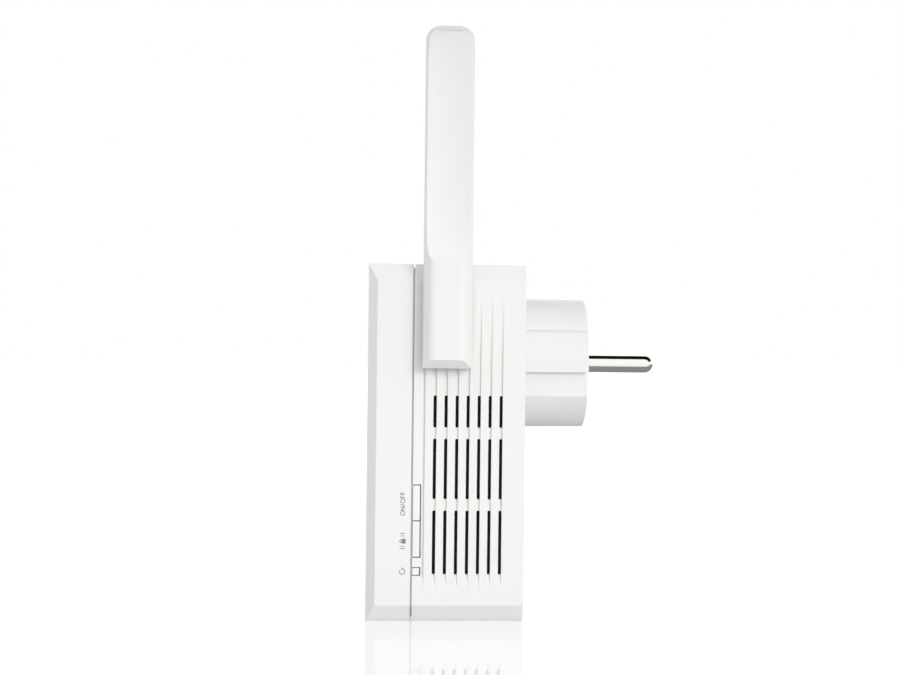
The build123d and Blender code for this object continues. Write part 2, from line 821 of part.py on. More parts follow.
with BuildPart() as socket_shutter:
    box_between(
        (-shutter_half_width, shutter_front, shutter_bottom),
        (shutter_half_width, shutter_front + shutter_thickness, shutter_bottom + shutter_height),
    )
    # Ramp along the lower front edge, which the pins push against
    chamfer(
        socket_shutter.edges().filter_by(Axis.X).group_by(Axis.Z)[0].sort_by(Axis.Y)[0],
        shutter_thickness / 2,
    )
    # Blind hole for the spring
    with BuildSketch(Plane.XY.offset(shutter_bottom + shutter_height)):
        with Locations((0, spring_y)):
            Circle(spring_hole_radius)
    extrude(amount=-spring_hole_depth, mode=Mode.SUBTRACT)
socket_shutter.part.label = "socket_shutter"
export_step(socket_shutter.part, "parts/socket_shutter.step")

with BuildPart() as shutter_spring:
    with BuildLine() as coil:
        Helix(
            pitch=spring_pitch,
            height=spring_length - 2 * spring_wire,
            radius=spring_radius - spring_wire,
            center=(0, spring_y, spring_bottom + spring_wire),
        )
    with BuildSketch(Plane(origin=coil.line @ 0, z_dir=coil.line % 0)):
        Circle(spring_wire)
    sweep()
shutter_spring.part.label = "shutter_spring"
export_step(shutter_spring.part, "parts/shutter_spring.step")

with BuildPart() as socket_screws:
    with BuildSketch(depth_plane(floor_rear + socket_screw_seat)):
        with Locations((-socket_screw_x, socket_z), (socket_screw_x, socket_z)):
            Circle(board_head_radius)
    extrude(amount=-board_head)
    with BuildSketch(depth_plane(floor_rear + socket_screw_seat)):
        with Locations((-socket_screw_x, socket_z), (socket_screw_x, socket_z)):
            Circle(board_shank_radius)
    extrude(amount=socket_screw_seat + socket_floor * 0.7)
socket_screws.part.label = "socket_screws"
export_step(socket_screws.part, "parts/socket_screws.step")

with BuildPart() as socket_earth_strap:
    for side in (-1, 1):
        inner = socket_z + side * strap_z
        outer = inner + side * strap_thickness
        box_between(
            (-strap_width / 2, front_y + strap_setback, min(inner, outer)),
            (strap_width / 2, bar_rear, max(inner, outer)),
        )
    box_between(
        (-strap_width / 2, base_rear, socket_z - strap_z),
        (strap_width / 2, bar_rear, socket_z + strap_z),
    )
socket_earth_strap.part.label = "socket_earth_strap"
export_step(socket_earth_strap.part, "parts/socket_earth_strap.step")

for x, side_name in ((-pin_x, "left"), (pin_x, "right")):
    with BuildPart() as socket_contact:
        with BuildSketch(depth_plane(base_rear)):
            with Locations((x, socket_z)):
                Circle(contact_outer_radius)
                Circle(contact_outer_radius - contact_wall, mode=Mode.SUBTRACT)
                Rectangle(contact_slit, 3 * contact_outer_radius, mode=Mode.SUBTRACT)
        extrude(amount=base_rear - shutter_pocket_rear - fit_gap)
        with BuildSketch(depth_plane(base_rear)):
            with Locations((x, socket_z)):
                Circle(contact_outer_radius)
        extrude(amount=contact_wall)
    socket_contact.part.label = f"socket_contact_{side_name}"
    export_step(socket_contact.part, f"parts/socket_contact_{side_name}.step")

# Bars that carry line, neutral and earth from the plug to the socket
for x, bar_name in ((-pin_x, "line_bar"), (pin_x, "neutral_bar")):
    with BuildPart() as bar:
        box_between(
            (x - strap_width / 2, base_rear, socket_z - contact_outer_radius),
            (x + strap_width / 2, bar_rear, pin_radius + strap_thickness),
        )
    bar.part.label = bar_name
    export_step(bar.part, f"parts/{bar_name}.step")

with BuildPart() as earth_bar:
    box_between(
        (-strap_width / 2, bar_rear, -earth_groove_z - earth_strip_thickness),
        (strap_width / 2, earth_bar_rear, earth_groove_z + earth_strip_thickness),
    )
earth_bar.part.label = "earth_bar"
export_step(earth_bar.part, "parts/earth_bar.step")


# ---------------------------------------------------------------- boards
def board_screw_set(places, seat_y, direction):
    """Board screws on one seat: heads on it, shanks along direction (+1 is +Y)."""
    with BuildPart() as screws:
        with BuildSketch(depth_plane(seat_y)):
            with Locations(*places):
                Circle(board_head_radius)
                Rectangle(board_head_radius * 1.4, 0.5, mode=Mode.SUBTRACT)
        extrude(amount=direction * board_head)
        with BuildSketch(depth_plane(seat_y)):
            with Locations(*places):
                Circle(board_shank_radius)
        extrude(amount=-direction * (board_shank - 0.5))
        with BuildSketch(depth_plane(seat_y)):
            with Locations(*places):
                Circle(board_head_radius)
        extrude(amount=direction * board_head / 2)
    return screws.part


with BuildPart() as board_screws:
    add(board_screw_set(main_post_places, main_board_rear, -1))
    add(board_screw_set(power_screw_places, power_board_front, 1))
    add(board_screw_set(port_post_places, port_board_front, 1))
board_screws.part.label = "board_screws"
export_step(board_screws.part, "parts/board_screws.step")

with BuildPart() as main_board:
    box_between(
        (-main_board_width / 2, main_board_front, main_board_bottom),
        (main_board_width / 2, main_board_rear, main_board_top),
    )
    with BuildSketch(depth_plane(main_board_rear)):
        with Locations(*main_post_places):
            Circle(board_shank_radius)
    extrude(amount=board_thickness, mode=Mode.SUBTRACT)
main_board.part.label = "main_board"
export_step(main_board.part, "parts/main_board.step")

with BuildPart() as rf_shield:
    shield_left = shield_inset[0] - main_board_width / 2
    shield_bottom = main_board_bottom + shield_inset[1]
    box_between(
        (shield_left, main_board_rear, shield_bottom),
        (shield_left + shield_width, main_board_rear + shield_height, shield_bottom + shield_rise),
    )
    box_between(
        (shield_left + shield_wall, main_board_rear, shield_bottom + shield_wall),
        (shield_left + shield_width - shield_wall, main_board_rear + shield_height - shield_wall,
         shield_bottom + shield_rise - shield_wall),
        mode=Mode.SUBTRACT,
    )
rf_shield.part.label = "rf_shield"
export_step(rf_shield.part, "parts/rf_shield.step")

chip_z = main_board_top - chip_drop
with BuildPart() as processor:
    box_between(
        (chip_x - chip_size / 2, main_board_rear, chip_z - chip_size / 2),
        (chip_x + chip_size / 2, main_board_rear + chip_height, chip_z + chip_size / 2),
    )
processor.part.label = "processor"
export_step(processor.part, "parts/processor.step")

with BuildPart() as heat_sink:
    sink_rear = main_board_rear + chip_height
    box_between(
        (chip_x - sink_size / 2, sink_rear, chip_z - sink_size / 2),
        (chip_x + sink_size / 2, sink_rear + sink_height, chip_z + sink_size / 2),
    )
    with BuildSketch(depth_plane(sink_rear + sink_height)):
        with Locations((chip_x, chip_z)):
            with GridLocations(sink_fin_pitch, 0, sink_fin_count - 1, 1):
                Rectangle(sink_fin_pitch / 2, sink_size)
    extrude(amount=sink_height * 0.8, mode=Mode.SUBTRACT)
heat_sink.part.label = "heat_sink"
export_step(heat_sink.part, "parts/heat_sink.step")

with BuildPart() as status_leds:
    with BuildSketch(depth_plane(main_board_front)):
        with Locations(*light_places):
            Rectangle(2 * led_half, led_half)
    extrude(amount=led_height)
status_leds.part.label = "status_leds"
export_step(status_leds.part, "parts/status_leds.step")

with BuildPart() as light_pipe:
    pipe_half = (light_count - 1) * light_spacing / 2 + 2.0 * light_radius
    box_between(
        (-pipe_half, inner_front + pipe_gap, light_z - light_radius * 1.3),
        (pipe_half, inner_front + pipe_gap + pipe_thickness, light_z + light_radius * 1.3),
    )
    with BuildSketch(depth_plane(inner_front + pipe_gap)):
        with Locations(*light_places):
            Circle(light_radius)
    extrude(amount=wall + pipe_gap)
    for side in (-1, 1):
        box_between(
            (side * pipe_half - light_radius, inner_front + pipe_gap, light_z - light_radius),
            (side * pipe_half + light_radius, main_board_front, light_z + light_radius),
        )
light_pipe.part.label = "light_pipe"
export_step(light_pipe.part, "parts/light_pipe.step")

with BuildPart() as power_board:
    box_between(
        (power_board_left, power_board_front, power_board_bottom),
        (power_board_right, power_board_rear, power_board_top),
    )
    with BuildSketch(depth_plane(power_board_rear)):
        with Locations(*power_screw_places):
            Circle(board_shank_radius)
    extrude(amount=board_thickness, mode=Mode.SUBTRACT)
power_board.part.label = "power_board"
export_step(power_board.part, "parts/power_board.step")

with BuildPart() as transformer:
    transformer_left = power_board_left + transformer_inset[0]
    transformer_bottom = power_board_bottom + transformer_inset[1]
    box_between(
        (transformer_left, power_board_front - transformer_height, transformer_bottom),
        (transformer_left + transformer_width, power_board_front,
         transformer_bottom + transformer_rise),
    )
    fillet(transformer.edges().filter_by(Axis.Y), transformer_edge_radius)
    # Bobbin flanges stand out above and below the core
    box_between(
        (transformer_left + bobbin_setback,
         power_board_front - transformer_height + bobbin_setback,
         transformer_bottom - bobbin_reach),
        (transformer_left + transformer_width - bobbin_setback,
         power_board_front - bobbin_setback,
         transformer_bottom + transformer_rise + bobbin_reach),
    )
transformer.part.label = "transformer"
export_step(transformer.part, "parts/transformer.step")

with BuildPart() as input_capacitor:
    input_capacitor_length = (
        power_board_height - input_capacitor_rise - input_capacitor_gap
        - rectifier_length - rectifier_inset
    )
    with BuildSketch(Plane.XY.offset(power_board_bottom + input_capacitor_rise)):
        with Locations((power_board_right - input_capacitor_inset,
                        power_board_front - input_capacitor_radius)):
            Circle(input_capacitor_radius)
    extrude(amount=input_capacitor_length)
    fillet(input_capacitor.edges().group_by(Axis.Z)[-1], capacitor_edge_radius)
input_capacitor.part.label = "input_capacitor"
export_step(input_capacitor.part, "parts/input_capacitor.step")

with BuildPart() as output_capacitor:
    with BuildSketch(depth_plane(power_board_front)):
        with Locations((round_part_x, power_board_bottom + output_capacitor_rise)):
            Circle(output_capacitor_radius)
    extrude(amount=output_capacitor_length)
    fillet(output_capacitor.edges().group_by(Axis.Y)[0], capacitor_edge_radius)
output_capacitor.part.label = "output_capacitor"
export_step(output_capacitor.part, "parts/output_capacitor.step")

with BuildPart() as choke:
    choke_z = power_board_bottom + choke_rise
    with BuildSketch(depth_plane(power_board_front)):
        with Locations((round_part_x, choke_z)):
            Circle(choke_radius)
    extrude(amount=choke_height)
    with BuildSketch(depth_plane(power_board_front - choke_height / 4)):
        with Locations((round_part_x, choke_z)):
            Circle(choke_radius)
            Circle(choke_radius * 0.8, mode=Mode.SUBTRACT)
    extrude(amount=choke_height / 2, mode=Mode.SUBTRACT)
choke.part.label = "choke"
export_step(choke.part, "parts/choke.step")

with BuildPart() as fuse:
    with BuildSketch(Plane.XY.offset(power_board_bottom + fuse_rise)):
        with Locations((fuse_x, power_board_front - fuse_radius)):
            Circle(fuse_radius)
    extrude(amount=fuse_length)
fuse.part.label = "fuse"
export_step(fuse.part, "parts/fuse.step")

with BuildPart() as varistor:
    fuse_top = power_board_bottom + fuse_rise + fuse_length
    varistor_z = fuse_top + varistor_gap + varistor_radius
    with BuildSketch(Plane.YZ.offset(fuse_x - varistor_thickness / 2)):
        with Locations((power_board_front - varistor_radius, varistor_z)):
            Circle(varistor_radius)
    extrude(amount=varistor_thickness)
varistor.part.label = "varistor"
export_step(varistor.part, "parts/varistor.step")

with BuildPart() as bridge_rectifier:
    box_between(
        (power_board_right - rectifier_inset - rectifier_width,
         power_board_front - rectifier_height,
         power_board_top - rectifier_inset - rectifier_length),
        (power_board_right - rectifier_inset, power_board_front,
         power_board_top - rectifier_inset),
    )
bridge_rectifier.part.label = "bridge_rectifier"
export_step(bridge_rectifier.part, "parts/bridge_rectifier.step")

# ---------------------------------------------------------------- Ethernet jack
with BuildPart() as port_board:
    box_between(
        (port_board_left, port_board_front, port_board_bottom),
        (port_board_right, jack_front, port_board_top),
    )
    with BuildSketch(depth_plane(jack_front)):
        with Locations(*port_post_places):
            Circle(board_shank_radius)
    extrude(amount=board_thickness, mode=Mode.SUBTRACT)
port_board.part.label = "port_board"
export_step(port_board.part, "parts/port_board.step")

with BuildPart() as ethernet_jack:
    box_between(
        (jack_x - jack_width / 2, jack_front, jack_bottom),
        (jack_x + jack_width / 2, jack_rear, jack_top),
    )
    box_between(
        (jack_x - port_width / 2, port_rear - port_height, jack_bottom),
        (jack_x + port_width / 2, port_rear, jack_bottom + port_depth),
        mode=Mode.SUBTRACT,
    )
    # Steps of the latch's channel
    for latch_width, latch_reach in ((port_width / 2, 1.5), (port_width / 4, 3.0)):
        box_between(
            (jack_x - latch_width / 2, port_rear - port_height - latch_reach, jack_bottom),
            (jack_x + latch_width / 2, port_rear - port_height, jack_bottom + port_depth / 2),
            mode=Mode.SUBTRACT,
        )
ethernet_jack.part.label = "ethernet_jack"
export_step(ethernet_jack.part, "parts/ethernet_jack.step")

with BuildPart() as ethernet_contacts:
    with BuildSketch(Plane.XY.offset(jack_bottom + port_depth)):
        with Locations((jack_x, port_rear - wire_size / 2)):
            with GridLocations(wire_pitch, 0, 8, 1):
                Rectangle(wire_size, wire_size)
    extrude(amount=-port_depth * 0.8)
ethernet_contacts.part.label = "ethernet_contacts"
export_step(ethernet_contacts.part, "parts/ethernet_contacts.step")

# ---------------------------------------------------------------- buttons
with BuildPart() as button_board:
    box_between(
        (button_board_x, button_board_front, button_bracket_zs[1] - button_bracket_height / 2),
        (button_board_outer, button_bracket_front + button_bracket_depth,
         button_bracket_zs[0] + button_bracket_height / 2),
    )
button_board.part.label = "button_board"
export_step(button_board.part, "parts/button_board.step")

for button_name, top, bottom, flange_above, flange_below in button_caps:
    cap_z = (top + bottom) / 2
    with BuildPart() as cap:
        box_between(
            (inner_x - seat_gap, housing_front + seat_gap, bottom),
            (half_width + button_proud, housing_front + button_slot - button_gap, top),
        )
        fillet(cap.faces().sort_by(Axis.X)[-1].edges(), button_edge_radius)
        # Flange that keeps the cap in its opening and covers the gaps round it
        box_between(
            (inner_x - seat_gap - button_flange, housing_front - button_flange,
             bottom - flange_below),
            (inner_x - seat_gap, housing_front + button_slot + button_flange,
             top + flange_above),
        )
        with BuildSketch(Plane.YZ.offset(inner_x - seat_gap - button_flange)):
            with Locations((cap_y, cap_z)):
                Circle(stem_radius)
        extrude(amount=-(inner_x - seat_gap - button_flange - stem_tip))
    cap.part.label = f"{button_name}_button"
    export_step(cap.part, f"parts/{button_name}_button.step")
    with BuildPart() as switch:
        box_between(
            (button_board_outer, cap_y - switch_width / 2, cap_z - switch_length / 2),
            (button_board_outer + switch_height, cap_y + switch_width / 2,
             cap_z + switch_length / 2),
        )
        with BuildSketch(Plane.YZ.offset(button_board_outer + switch_height)):
            with Locations((cap_y, cap_z)):
                Circle(stem_radius + 2 * seat_gap)
        extrude(amount=-(switch_height - switch_floor), mode=Mode.SUBTRACT)
    switch.part.label = f"{button_name}_switch"
    export_step(switch.part, f"parts/{button_name}_switch.step")


# ---------------------------------------------------------------- antennas
def paddle_outline(inset, x):
    """Antenna seen from its side, in the plane at x: square foot, round tip, inset all round."""
    with BuildSketch(Plane.YZ.offset(x)) as outline:
        with Locations((mid_y, antenna_z + (antenna_length - antenna_block) / 2)):
            Rectangle(antenna_width, antenna_length + antenna_block)
        corners = outline.vertices().group_by(Axis.Y)
        fillet(corners[-1], antenna_tip_radius)
        fillet(corners[0], antenna_foot_radius)
        if inset:
            offset(amount=-inset)
    return outline.sketch


def scoop_section(along):
    """Section of the scoop's hollow at one distance from its lower edge."""
    low_end = max(0, 1 - along / scoop_run_in)
    tip_end = max(0, 1 - (scoop_length - along) / scoop_run_in)
    edge = scoop_depth * (1 - low_end ** scoop_edge_sharpness)
    edge *= 1 - scoop_tip_rise * tip_end ** scoop_edge_sharpness
    dish = scoop_dish * (1 - low_end ** scoop_dish_sharpness)
    dish *= 1 - tip_end ** scoop_dish_sharpness
    edge_x = antenna_face - edge
    reach = antenna_width / 2 + 1.0
    top_x = antenna_face + antenna_bevel_depth
    with BuildSketch(Plane.XY.offset(antenna_z + antenna_block + along)) as section:
        with BuildLine():
            ThreePointArc(
                (edge_x, mid_y - reach), (edge_x - dish - 0.05, mid_y), (edge_x, mid_y + reach)
            )
            Polyline(
                (edge_x, mid_y + reach), (top_x, mid_y + reach),
                (top_x, mid_y - reach), (edge_x, mid_y - reach),
            )
        make_face()
    return section.sketch


with BuildPart() as scoop:
    loft([scoop_section(along) for along in scoop_stations])
    extrude(scoop_section(scoop_stations[-1]), amount=scoop_length - 2 * scoop_stations[-1])
    loft([scoop_section(scoop_length - along) for along in scoop_stations])

with BuildPart() as antenna_shell:
    extrude(paddle_outline(0, antenna_inner), amount=antenna_side)
    extrude(paddle_outline(0, antenna_side_x), amount=antenna_bevel_depth,
            taper=degrees(atan(antenna_bevel / antenna_bevel_depth)))
    face_edges = antenna_shell.edges().filter_by(
        lambda edge: abs(edge.center().X - antenna_face) < 0.01
    )
    fillet(face_edges.sort_by(Axis.Z)[1:], antenna_edge_radius)
    side_edges = antenna_shell.edges().filter_by(
        lambda edge: abs(edge.center().X - antenna_side_x) < 0.01
    )
    fillet(side_edges.sort_by(Axis.Z)[1:], antenna_side_edge_radius)
    # The scoop between the block and the tip
    add(scoop.part, mode=Mode.SUBTRACT)
    # Rebate for the lid, hollow of the blade, deeper hollow of the block
    extrude(paddle_outline(antenna_wall / 2, antenna_inner), amount=antenna_lid,
            mode=Mode.SUBTRACT)
    extrude(paddle_outline(antenna_wall, antenna_inner), amount=antenna_hollow,
            mode=Mode.SUBTRACT)
    with BuildSketch(Plane.YZ.offset(antenna_inner)):
        with Locations((mid_y, antenna_z)):
            Rectangle(antenna_width - 2 * antenna_bevel, antenna_block)
    extrude(amount=antenna_face - antenna_wall - antenna_inner, mode=Mode.SUBTRACT)

with BuildPart() as antenna_lid_part:
    extrude(paddle_outline(antenna_wall / 2 + fit_gap, antenna_inner), amount=antenna_lid)
    # Hub that turns in the housing's boss, with a groove for the retaining clip
    with BuildSketch(Plane.YZ.offset(antenna_inner)):
        with Locations((mid_y, antenna_z)):
            Circle(hub_radius)
    extrude(amount=-(antenna_inner - hub_end))
    with BuildSketch(Plane.YZ.offset(clip_x)):
        with Locations((mid_y, antenna_z)):
            Circle(hub_radius)
            Circle(hub_radius - hub_groove, mode=Mode.SUBTRACT)
    extrude(amount=clip_thickness, mode=Mode.SUBTRACT)
    with BuildSketch(Plane.YZ.offset(hub_end)):
        with Locations((mid_y, antenna_z)):
            Circle(hub_bore)
    extrude(amount=antenna_inner + antenna_lid - hub_end, mode=Mode.SUBTRACT)

with BuildPart() as antenna_washer:
    with BuildSketch(Plane.YZ.offset(clip_x + clip_thickness)):
        with Locations((mid_y, antenna_z)):
            Circle(clip_radius)
            Circle(hub_radius + hub_clearance, mode=Mode.SUBTRACT)
    extrude(amount=washer_thickness)

with BuildPart() as antenna_clip:
    with BuildSketch(Plane.YZ.offset(clip_x)):
        with Locations((mid_y, antenna_z)):
            Circle(clip_radius)
            Circle(hub_radius - hub_groove, mode=Mode.SUBTRACT)
        with Locations((mid_y, antenna_z - clip_radius)):
            Rectangle(1.6 * (hub_radius - hub_groove), 2 * clip_radius, mode=Mode.SUBTRACT)
    extrude(amount=clip_thickness)

with BuildPart() as antenna_radiator:
    with BuildSketch(Plane.YZ.offset(antenna_inner + antenna_lid)):
        with Locations((mid_y, radiator_bottom + radiator_length / 2)):
            Rectangle(radiator_width, radiator_length)
            Rectangle(radiator_slot, radiator_length / 2, mode=Mode.SUBTRACT)
    extrude(amount=radiator_thickness)

with BuildPart() as antenna_cable:
    with BuildLine() as cable_route:
        FilletPolyline(
            (cable_x, mid_y, radiator_bottom),
            (cable_x, mid_y, antenna_z),
            (hub_end, mid_y, antenna_z),
            radius=cable_bend,
        )
    with BuildSketch(Plane(origin=cable_route.line @ 0, z_dir=cable_route.line % 0)):
        Circle(cable_radius)
    sweep()

antenna_pieces = {
    "shell": antenna_shell,
    "lid": antenna_lid_part,
    "washer": antenna_washer,
    "clip": antenna_clip,
    "radiator": antenna_radiator,
    "cable": antenna_cable,
}
for piece_name, piece in antenna_pieces.items():
    piece.part.label = f"antenna_right_{piece_name}"
    export_step(piece.part, f"parts/antenna_right_{piece_name}.step")
    with BuildPart() as mirrored:
        mirror(piece.part, about=Plane.YZ)
    mirrored.part.label = f"antenna_left_{piece_name}"
    export_step(mirrored.part, f"parts/antenna_left_{piece_name}.step")
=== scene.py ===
"""Studio picture of a plug-in wifi range extender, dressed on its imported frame.

Metres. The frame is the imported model's own: the plug's axis meets the wall face at the
origin, +Z is up, +Y runs into the wall outlet, and the push buttons are on the +X side.
"""
import logging
import math
from dataclasses import dataclass
from enum import Enum
from typing import Any, ClassVar, Iterable, Sequence

import bmesh
import bpy
from mathutils import Matrix, Vector


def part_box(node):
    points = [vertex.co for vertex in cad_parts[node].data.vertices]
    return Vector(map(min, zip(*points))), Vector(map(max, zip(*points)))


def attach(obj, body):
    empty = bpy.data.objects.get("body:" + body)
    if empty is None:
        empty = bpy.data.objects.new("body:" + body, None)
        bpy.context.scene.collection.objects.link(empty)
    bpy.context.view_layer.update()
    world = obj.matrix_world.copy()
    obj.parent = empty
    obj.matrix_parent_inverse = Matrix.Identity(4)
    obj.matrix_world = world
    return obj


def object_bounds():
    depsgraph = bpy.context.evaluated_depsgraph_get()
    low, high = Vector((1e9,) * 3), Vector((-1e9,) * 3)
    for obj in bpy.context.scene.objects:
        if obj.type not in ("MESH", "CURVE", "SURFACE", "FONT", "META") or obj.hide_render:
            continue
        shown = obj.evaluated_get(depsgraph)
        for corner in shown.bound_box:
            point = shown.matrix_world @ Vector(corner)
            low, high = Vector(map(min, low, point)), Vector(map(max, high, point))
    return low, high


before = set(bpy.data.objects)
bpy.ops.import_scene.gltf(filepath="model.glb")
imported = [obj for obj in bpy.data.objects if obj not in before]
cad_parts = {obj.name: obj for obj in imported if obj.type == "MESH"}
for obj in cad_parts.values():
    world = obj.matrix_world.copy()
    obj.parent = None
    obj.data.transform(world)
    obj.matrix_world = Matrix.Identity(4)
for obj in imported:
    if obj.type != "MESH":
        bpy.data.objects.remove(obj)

LOG = logging.getLogger("range_extender")
MM = 0.001
CAD_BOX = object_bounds()
WHITE = (1.0, 1.0, 1.0, 1.0)
NOISE_RANGE = (0.3, 0.7)       # where most of a noise texture's values lie
WAVE_SCALE = 0.5               # wave texture scale whose bands come about one pitch apart
SAME_POINT_MM = 1e-6
MITRE_LIMIT = 0.3              # least cosine of half a stroke's turn that widens its mitre
INK_LIFT_MM = 0.012
INK_STEP_MM = 0.001            # between strokes that cross, so that no two share a plane

Flat = tuple[float, float]
Stroke = Sequence[Flat]


def hex_to_linear(code: str) -> tuple[float, float, float, float]:
    """Turns an sRGB hex colour into linear RGBA.

    Args:
        code: Colour such as "#F1F1EF".

    Returns:
        Red, green, blue and an alpha of 1.
    """
    channels = [int(code[i : i + 2], 16) / 255 for i in (1, 3, 5)]
    linear = [c / 12.92 if c <= 0.04045 else ((c + 0.055) / 1.055) ** 2.4 for c in channels]
    return (linear[0], linear[1], linear[2], 1.0)


def add_node(
    tree: bpy.types.NodeTree,
    kind: str,
    inputs: dict[str | int, Any] | None = None,
    **settings: Any,
) -> bpy.types.Node:
    """Adds one node with its settings, input values and links.

    Args:
        tree: Node tree that gets the node.
        kind: Blender's name of the node type.
        inputs: Values or output sockets by input name or number.
        **settings: The node's own attributes.

    Returns:
        The new node.
    """
    node = tree.nodes.new(kind)
    for name, value in settings.items():
        setattr(node, name, value)
    for key, value in (inputs or {}).items():
        if isinstance(value, bpy.types.NodeSocket):
            tree.links.new(value, node.inputs[key])
        else:
            node.inputs[key].default_value = value
    return node


def millimetres(tree: bpy.types.NodeTree) -> bpy.types.NodeSocket:
    """Reads the place on the object in millimetres, so that scales are real sizes.

    Args:
        tree: Node tree that gets the nodes.

    Returns:
        Socket with the place.
    """
    place = add_node(tree, "ShaderNodeTexCoord")
    scaled = add_node(
        tree,
        "ShaderNodeVectorMath",
        {0: place.outputs["Object"], "Scale": 1 / MM},
        operation="SCALE",
    )
    return scaled.outputs["Vector"]


# ---------------------------------------------------------------- finishes
class Finish:
    """A surface finish that makes one Blender material and hands it out again."""

    name: str

    def shader(self, tree: bpy.types.NodeTree) -> bpy.types.Node:
        """Builds the nodes up to the surface shader and returns that shader."""
        raise NotImplementedError

    def material(self) -> bpy.types.Material:
        """Makes the finish's material on first use.

        Returns:
            The same material each time.
        """
        made = bpy.data.materials.get(self.name)
        if made is None:
            made = bpy.data.materials.new(self.name)
            made.use_nodes = True
            made.node_tree.nodes.clear()
            shader = self.shader(made.node_tree)
            add_node(made.node_tree, "ShaderNodeOutputMaterial", {"Surface": shader.outputs[0]})
        return made

    def put_on(self, *pieces: bpy.types.Object) -> None:
        """Covers whole pieces with the finish.

        Args:
            *pieces: Objects whose first material slot takes the finish.
        """
        for piece in pieces:
            piece.data.materials.clear()
            piece.data.materials.append(self.material())


@dataclass(frozen=True)
class MouldedPlastic(Finish):
    """Injection-moulded plastic, with the grain of its tool and faint flow clouds."""

    name: str
    colour: str
    cloud: str                 # where the melt cooled last
    roughness: float
    grain_mm: float            # pitch of the tool's texture
    grain_depth_mm: float
    cloud_mm: float = 14.0
    roughness_spread: float = 0.05
    ior: float = 1.54

    def shader(self, tree: bpy.types.NodeTree) -> bpy.types.Node:
        """Builds clouded colour, uneven gloss and a fine grain.

        Args:
            tree: Empty node tree of the material.

        Returns:
            The surface shader.
        """
        place = millimetres(tree)
        clouds = add_node(
            tree,
            "ShaderNodeTexNoise",
            {"Vector": place, "Scale": 1 / self.cloud_mm, "Detail": 3.0},
        )
        colour = add_node(
            tree,
            "ShaderNodeMix",
            {
                0: clouds.outputs["Fac"],
                6: hex_to_linear(self.colour),
                7: hex_to_linear(self.cloud),
            },
            data_type="RGBA",
        )
        grain = add_node(
            tree,
            "ShaderNodeTexNoise",
            {"Vector": place, "Scale": 1 / self.grain_mm, "Detail": 2.0, "Roughness": 0.6},
        )
        gloss = add_node(
            tree,
            "ShaderNodeMapRange",
            {
                "Value": grain.outputs["Fac"],
                "From Min": NOISE_RANGE[0],
                "From Max": NOISE_RANGE[1],
                "To Min": self.roughness - self.roughness_spread,
                "To Max": self.roughness + self.roughness_spread,
            },
        )
        bump = add_node(
            tree,
            "ShaderNodeBump",
            {
                "Height": grain.outputs["Fac"],
                "Distance": self.grain_depth_mm * MM,
                "Strength": 1.0,
            },
        )
        return add_node(
            tree,
            "ShaderNodeBsdfPrincipled",
            {
                "Base Color": colour.outputs[2],
                "Roughness": gloss.outputs["Result"],
                "IOR": self.ior,
                "Normal": bump.outputs["Normal"],
            },
        )


class Lay(Enum):
    """Direction that a metal's fine lines run in, as the stretch of their noise."""

    ROUND_THE_PIN = (0.05, 1.0, 0.05)
    ALONG_Y = (1.0, 0.04, 1.0)
    ALONG_Z = (1.0, 1.0, 0.04)
    ALL_WAYS = (1.0, 1.0, 1.0)


@dataclass(frozen=True)
class Metal(Finish):
    """Bare or plated metal with the lines that turning, rolling or drawing leave."""

    name: str
    colour: str
    stain: str                 # thin tarnish between the lines
    roughness: float
    line_mm: float
    lay: Lay
    line_depth_mm: float = 0.001
    stain_mm: float = 4.0
    roughness_share: float = 0.4   # by which the lines change the roughness

    def shader(self, tree: bpy.types.NodeTree) -> bpy.types.Node:
        """Builds lined gloss, a trace of tarnish and a shallow bump.

        Args:
            tree: Empty node tree of the material.

        Returns:
            The surface shader.
        """
        place = millimetres(tree)
        stretched = add_node(
            tree,
            "ShaderNodeVectorMath",
            {0: place, 1: self.lay.value},
            operation="MULTIPLY",
        )
        lines = add_node(
            tree,
            "ShaderNodeTexNoise",
            {"Vector": stretched.outputs["Vector"], "Scale": 1 / self.line_mm, "Detail": 4.0},
        )
        tarnish = add_node(
            tree,
            "ShaderNodeTexNoise",
            {"Vector": place, "Scale": 1 / self.stain_mm, "Detail": 3.0},
        )
        colour = add_node(
            tree,
            "ShaderNodeMix",
            {
                0: tarnish.outputs["Fac"],
                6: hex_to_linear(self.colour),
                7: hex_to_linear(self.stain),
            },
            data_type="RGBA",
        )
        gloss = add_node(
            tree,
            "ShaderNodeMapRange",
            {
                "Value": lines.outputs["Fac"],
                "To Min": self.roughness * (1 - self.roughness_share),
                "To Max": self.roughness * (1 + self.roughness_share),
            },
        )
        bump = add_node(
            tree,
            "ShaderNodeBump",
            {"Height": lines.outputs["Fac"], "Distance": self.line_depth_mm * MM},
        )
        return add_node(
            tree,
            "ShaderNodeBsdfPrincipled",
            {
                "Base Color": colour.outputs[2],
                "Metallic": 1.0,
                "Roughness": gloss.outputs["Result"],
                "Normal": bump.outputs["Normal"],
            },
        )


